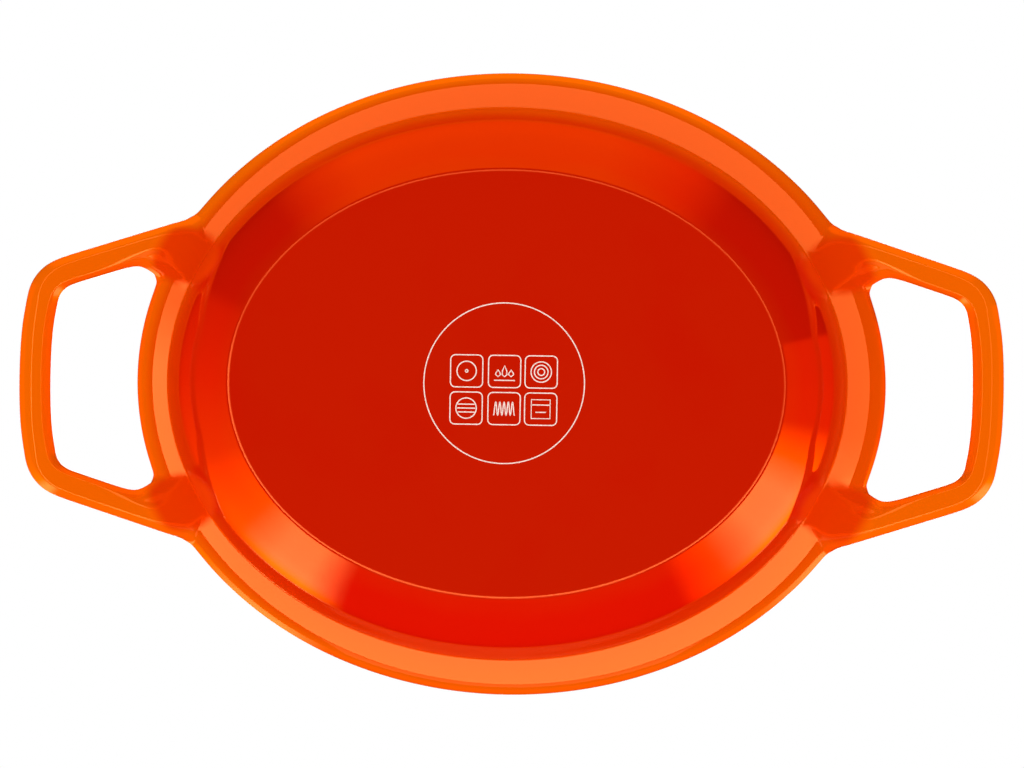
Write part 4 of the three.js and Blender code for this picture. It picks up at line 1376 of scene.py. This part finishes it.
world = bpy.data.worlds.new("studio")
world.use_nodes = True
scene.world = world
tree = world.node_tree
tree.nodes.clear()
path = node(tree, "ShaderNodeLightPath").outputs
aim = node(tree, "ShaderNodeTexCoord").outputs["Generated"]
xyz = node(tree, "ShaderNodeSeparateXYZ", {0: aim}).outputs
from_nadir = node(tree, "ShaderNodeMapRange", {
    "Value": xyz["Z"], "From Min": -1.0, "From Max": 1.0,
}).outputs[0]
fill = node(tree, "ShaderNodeValToRGB", {0: from_nadir})
set_ramp(fill, *FILL_FADE)
bearing = node(tree, "ShaderNodeMath", {0: xyz["Y"], 1: xyz["X"]}, operation="ARCTAN2").outputs[0]
turns = node(tree, "ShaderNodeMath", {0: bearing, 1: 2 * pi}, operation="DIVIDE").outputs[0]
around = node(tree, "ShaderNodeMath", {0: turns}, operation="FRACT").outputs[0]
screens = node(tree, "ShaderNodeValToRGB", {0: around})
set_ramp(screens, *SCREENS)
screen_height = node(tree, "ShaderNodeValToRGB", {0: from_nadir})
set_ramp(screen_height, *SCREEN_FADE)
shown = node(tree, "ShaderNodeMix", {
    0: 1.0, 6: screens.outputs[0], 7: screen_height.outputs[0],
}, data_type="RGBA", blend_type="MULTIPLY").outputs[2]
bright = node(tree, "ShaderNodeVectorMath", {
    0: shown, "Scale": BRIGHTEST_SCREEN,
}, operation="SCALE").outputs[0]
below = node(tree, "ShaderNodeValToRGB", {0: from_nadir})
set_ramp(below, *RING_FADE)
one_side = node(tree, "ShaderNodeValToRGB", {0: around})
set_ramp(one_side, *RING_SIDES)
uneven_ring = node(tree, "ShaderNodeMix", {
    0: 1.0, 6: below.outputs[0], 7: one_side.outputs[0],
}, data_type="RGBA", blend_type="MULTIPLY").outputs[2]
ring_light = node(tree, "ShaderNodeVectorMath", {
    0: uneven_ring, "Scale": RING_BRIGHTNESS,
}, operation="SCALE").outputs[0]
mirrored = node(tree, "ShaderNodeVectorMath", {0: bright, 1: ring_light}, operation="ADD").outputs[0]
even = node(tree, "ShaderNodeVectorMath", {
    0: fill.outputs[0], "Scale": FILL_BRIGHTNESS,
}, operation="SCALE").outputs[0]
through_floor = node(tree, "ShaderNodeMath", {
    0: path["Transparent Depth"], 1: 1.0,
}, operation="MINIMUM").outputs[0]
in_gloss = node(tree, "ShaderNodeMath", {
    0: path["Is Glossy Ray"], 1: through_floor,
}, operation="MULTIPLY").outputs[0]
seen = node(tree, "ShaderNodeMix", {0: in_gloss, 6: even, 7: mirrored}, data_type="RGBA").outputs[2]
backdrop = node(tree, "ShaderNodeMix", {
    0: path["Is Camera Ray"], 6: seen, 7: linear("FFFFFF"),
}, data_type="RGBA").outputs[2]
glow = node(tree, "ShaderNodeBackground", {"Color": backdrop, "Strength": 1.0}).outputs[0]
node(tree, "ShaderNodeOutputWorld", {"Surface": glow})
print("world:", len(tree.nodes), "nodes")

# %% [markdown]
# Two softboxes add direction to the light. Both are broad and not very bright: one stands low on the side
# that the photograph shows at its bottom, and one hangs over the pot for views from above.

# %% Softboxes
SOFTBOXES = {
    "low_side": ((0.0, 1.2, -0.8), 1.2, 0.6, 1.6),
    "overhead": ((0.0, 0.0, 2.2), 0.8, 0.8, 4.0),
}

for name, (place, width, height, brightness) in SOFTBOXES.items():
    lamp = bpy.data.lights.new(name, "AREA")
    lamp.shape = "RECTANGLE"
    lamp.size, lamp.size_y = width, height
    lamp.energy = brightness * pi * width * height
    softbox = bpy.data.objects.new(name, lamp)
    softbox.location = place
    softbox.rotation_euler = (target - Vector(place)).to_track_quat("-Z", "Y").to_euler()
    softbox.visible_camera = False
    scene.collection.objects.link(softbox)
print("softboxes:", list(SOFTBOXES))
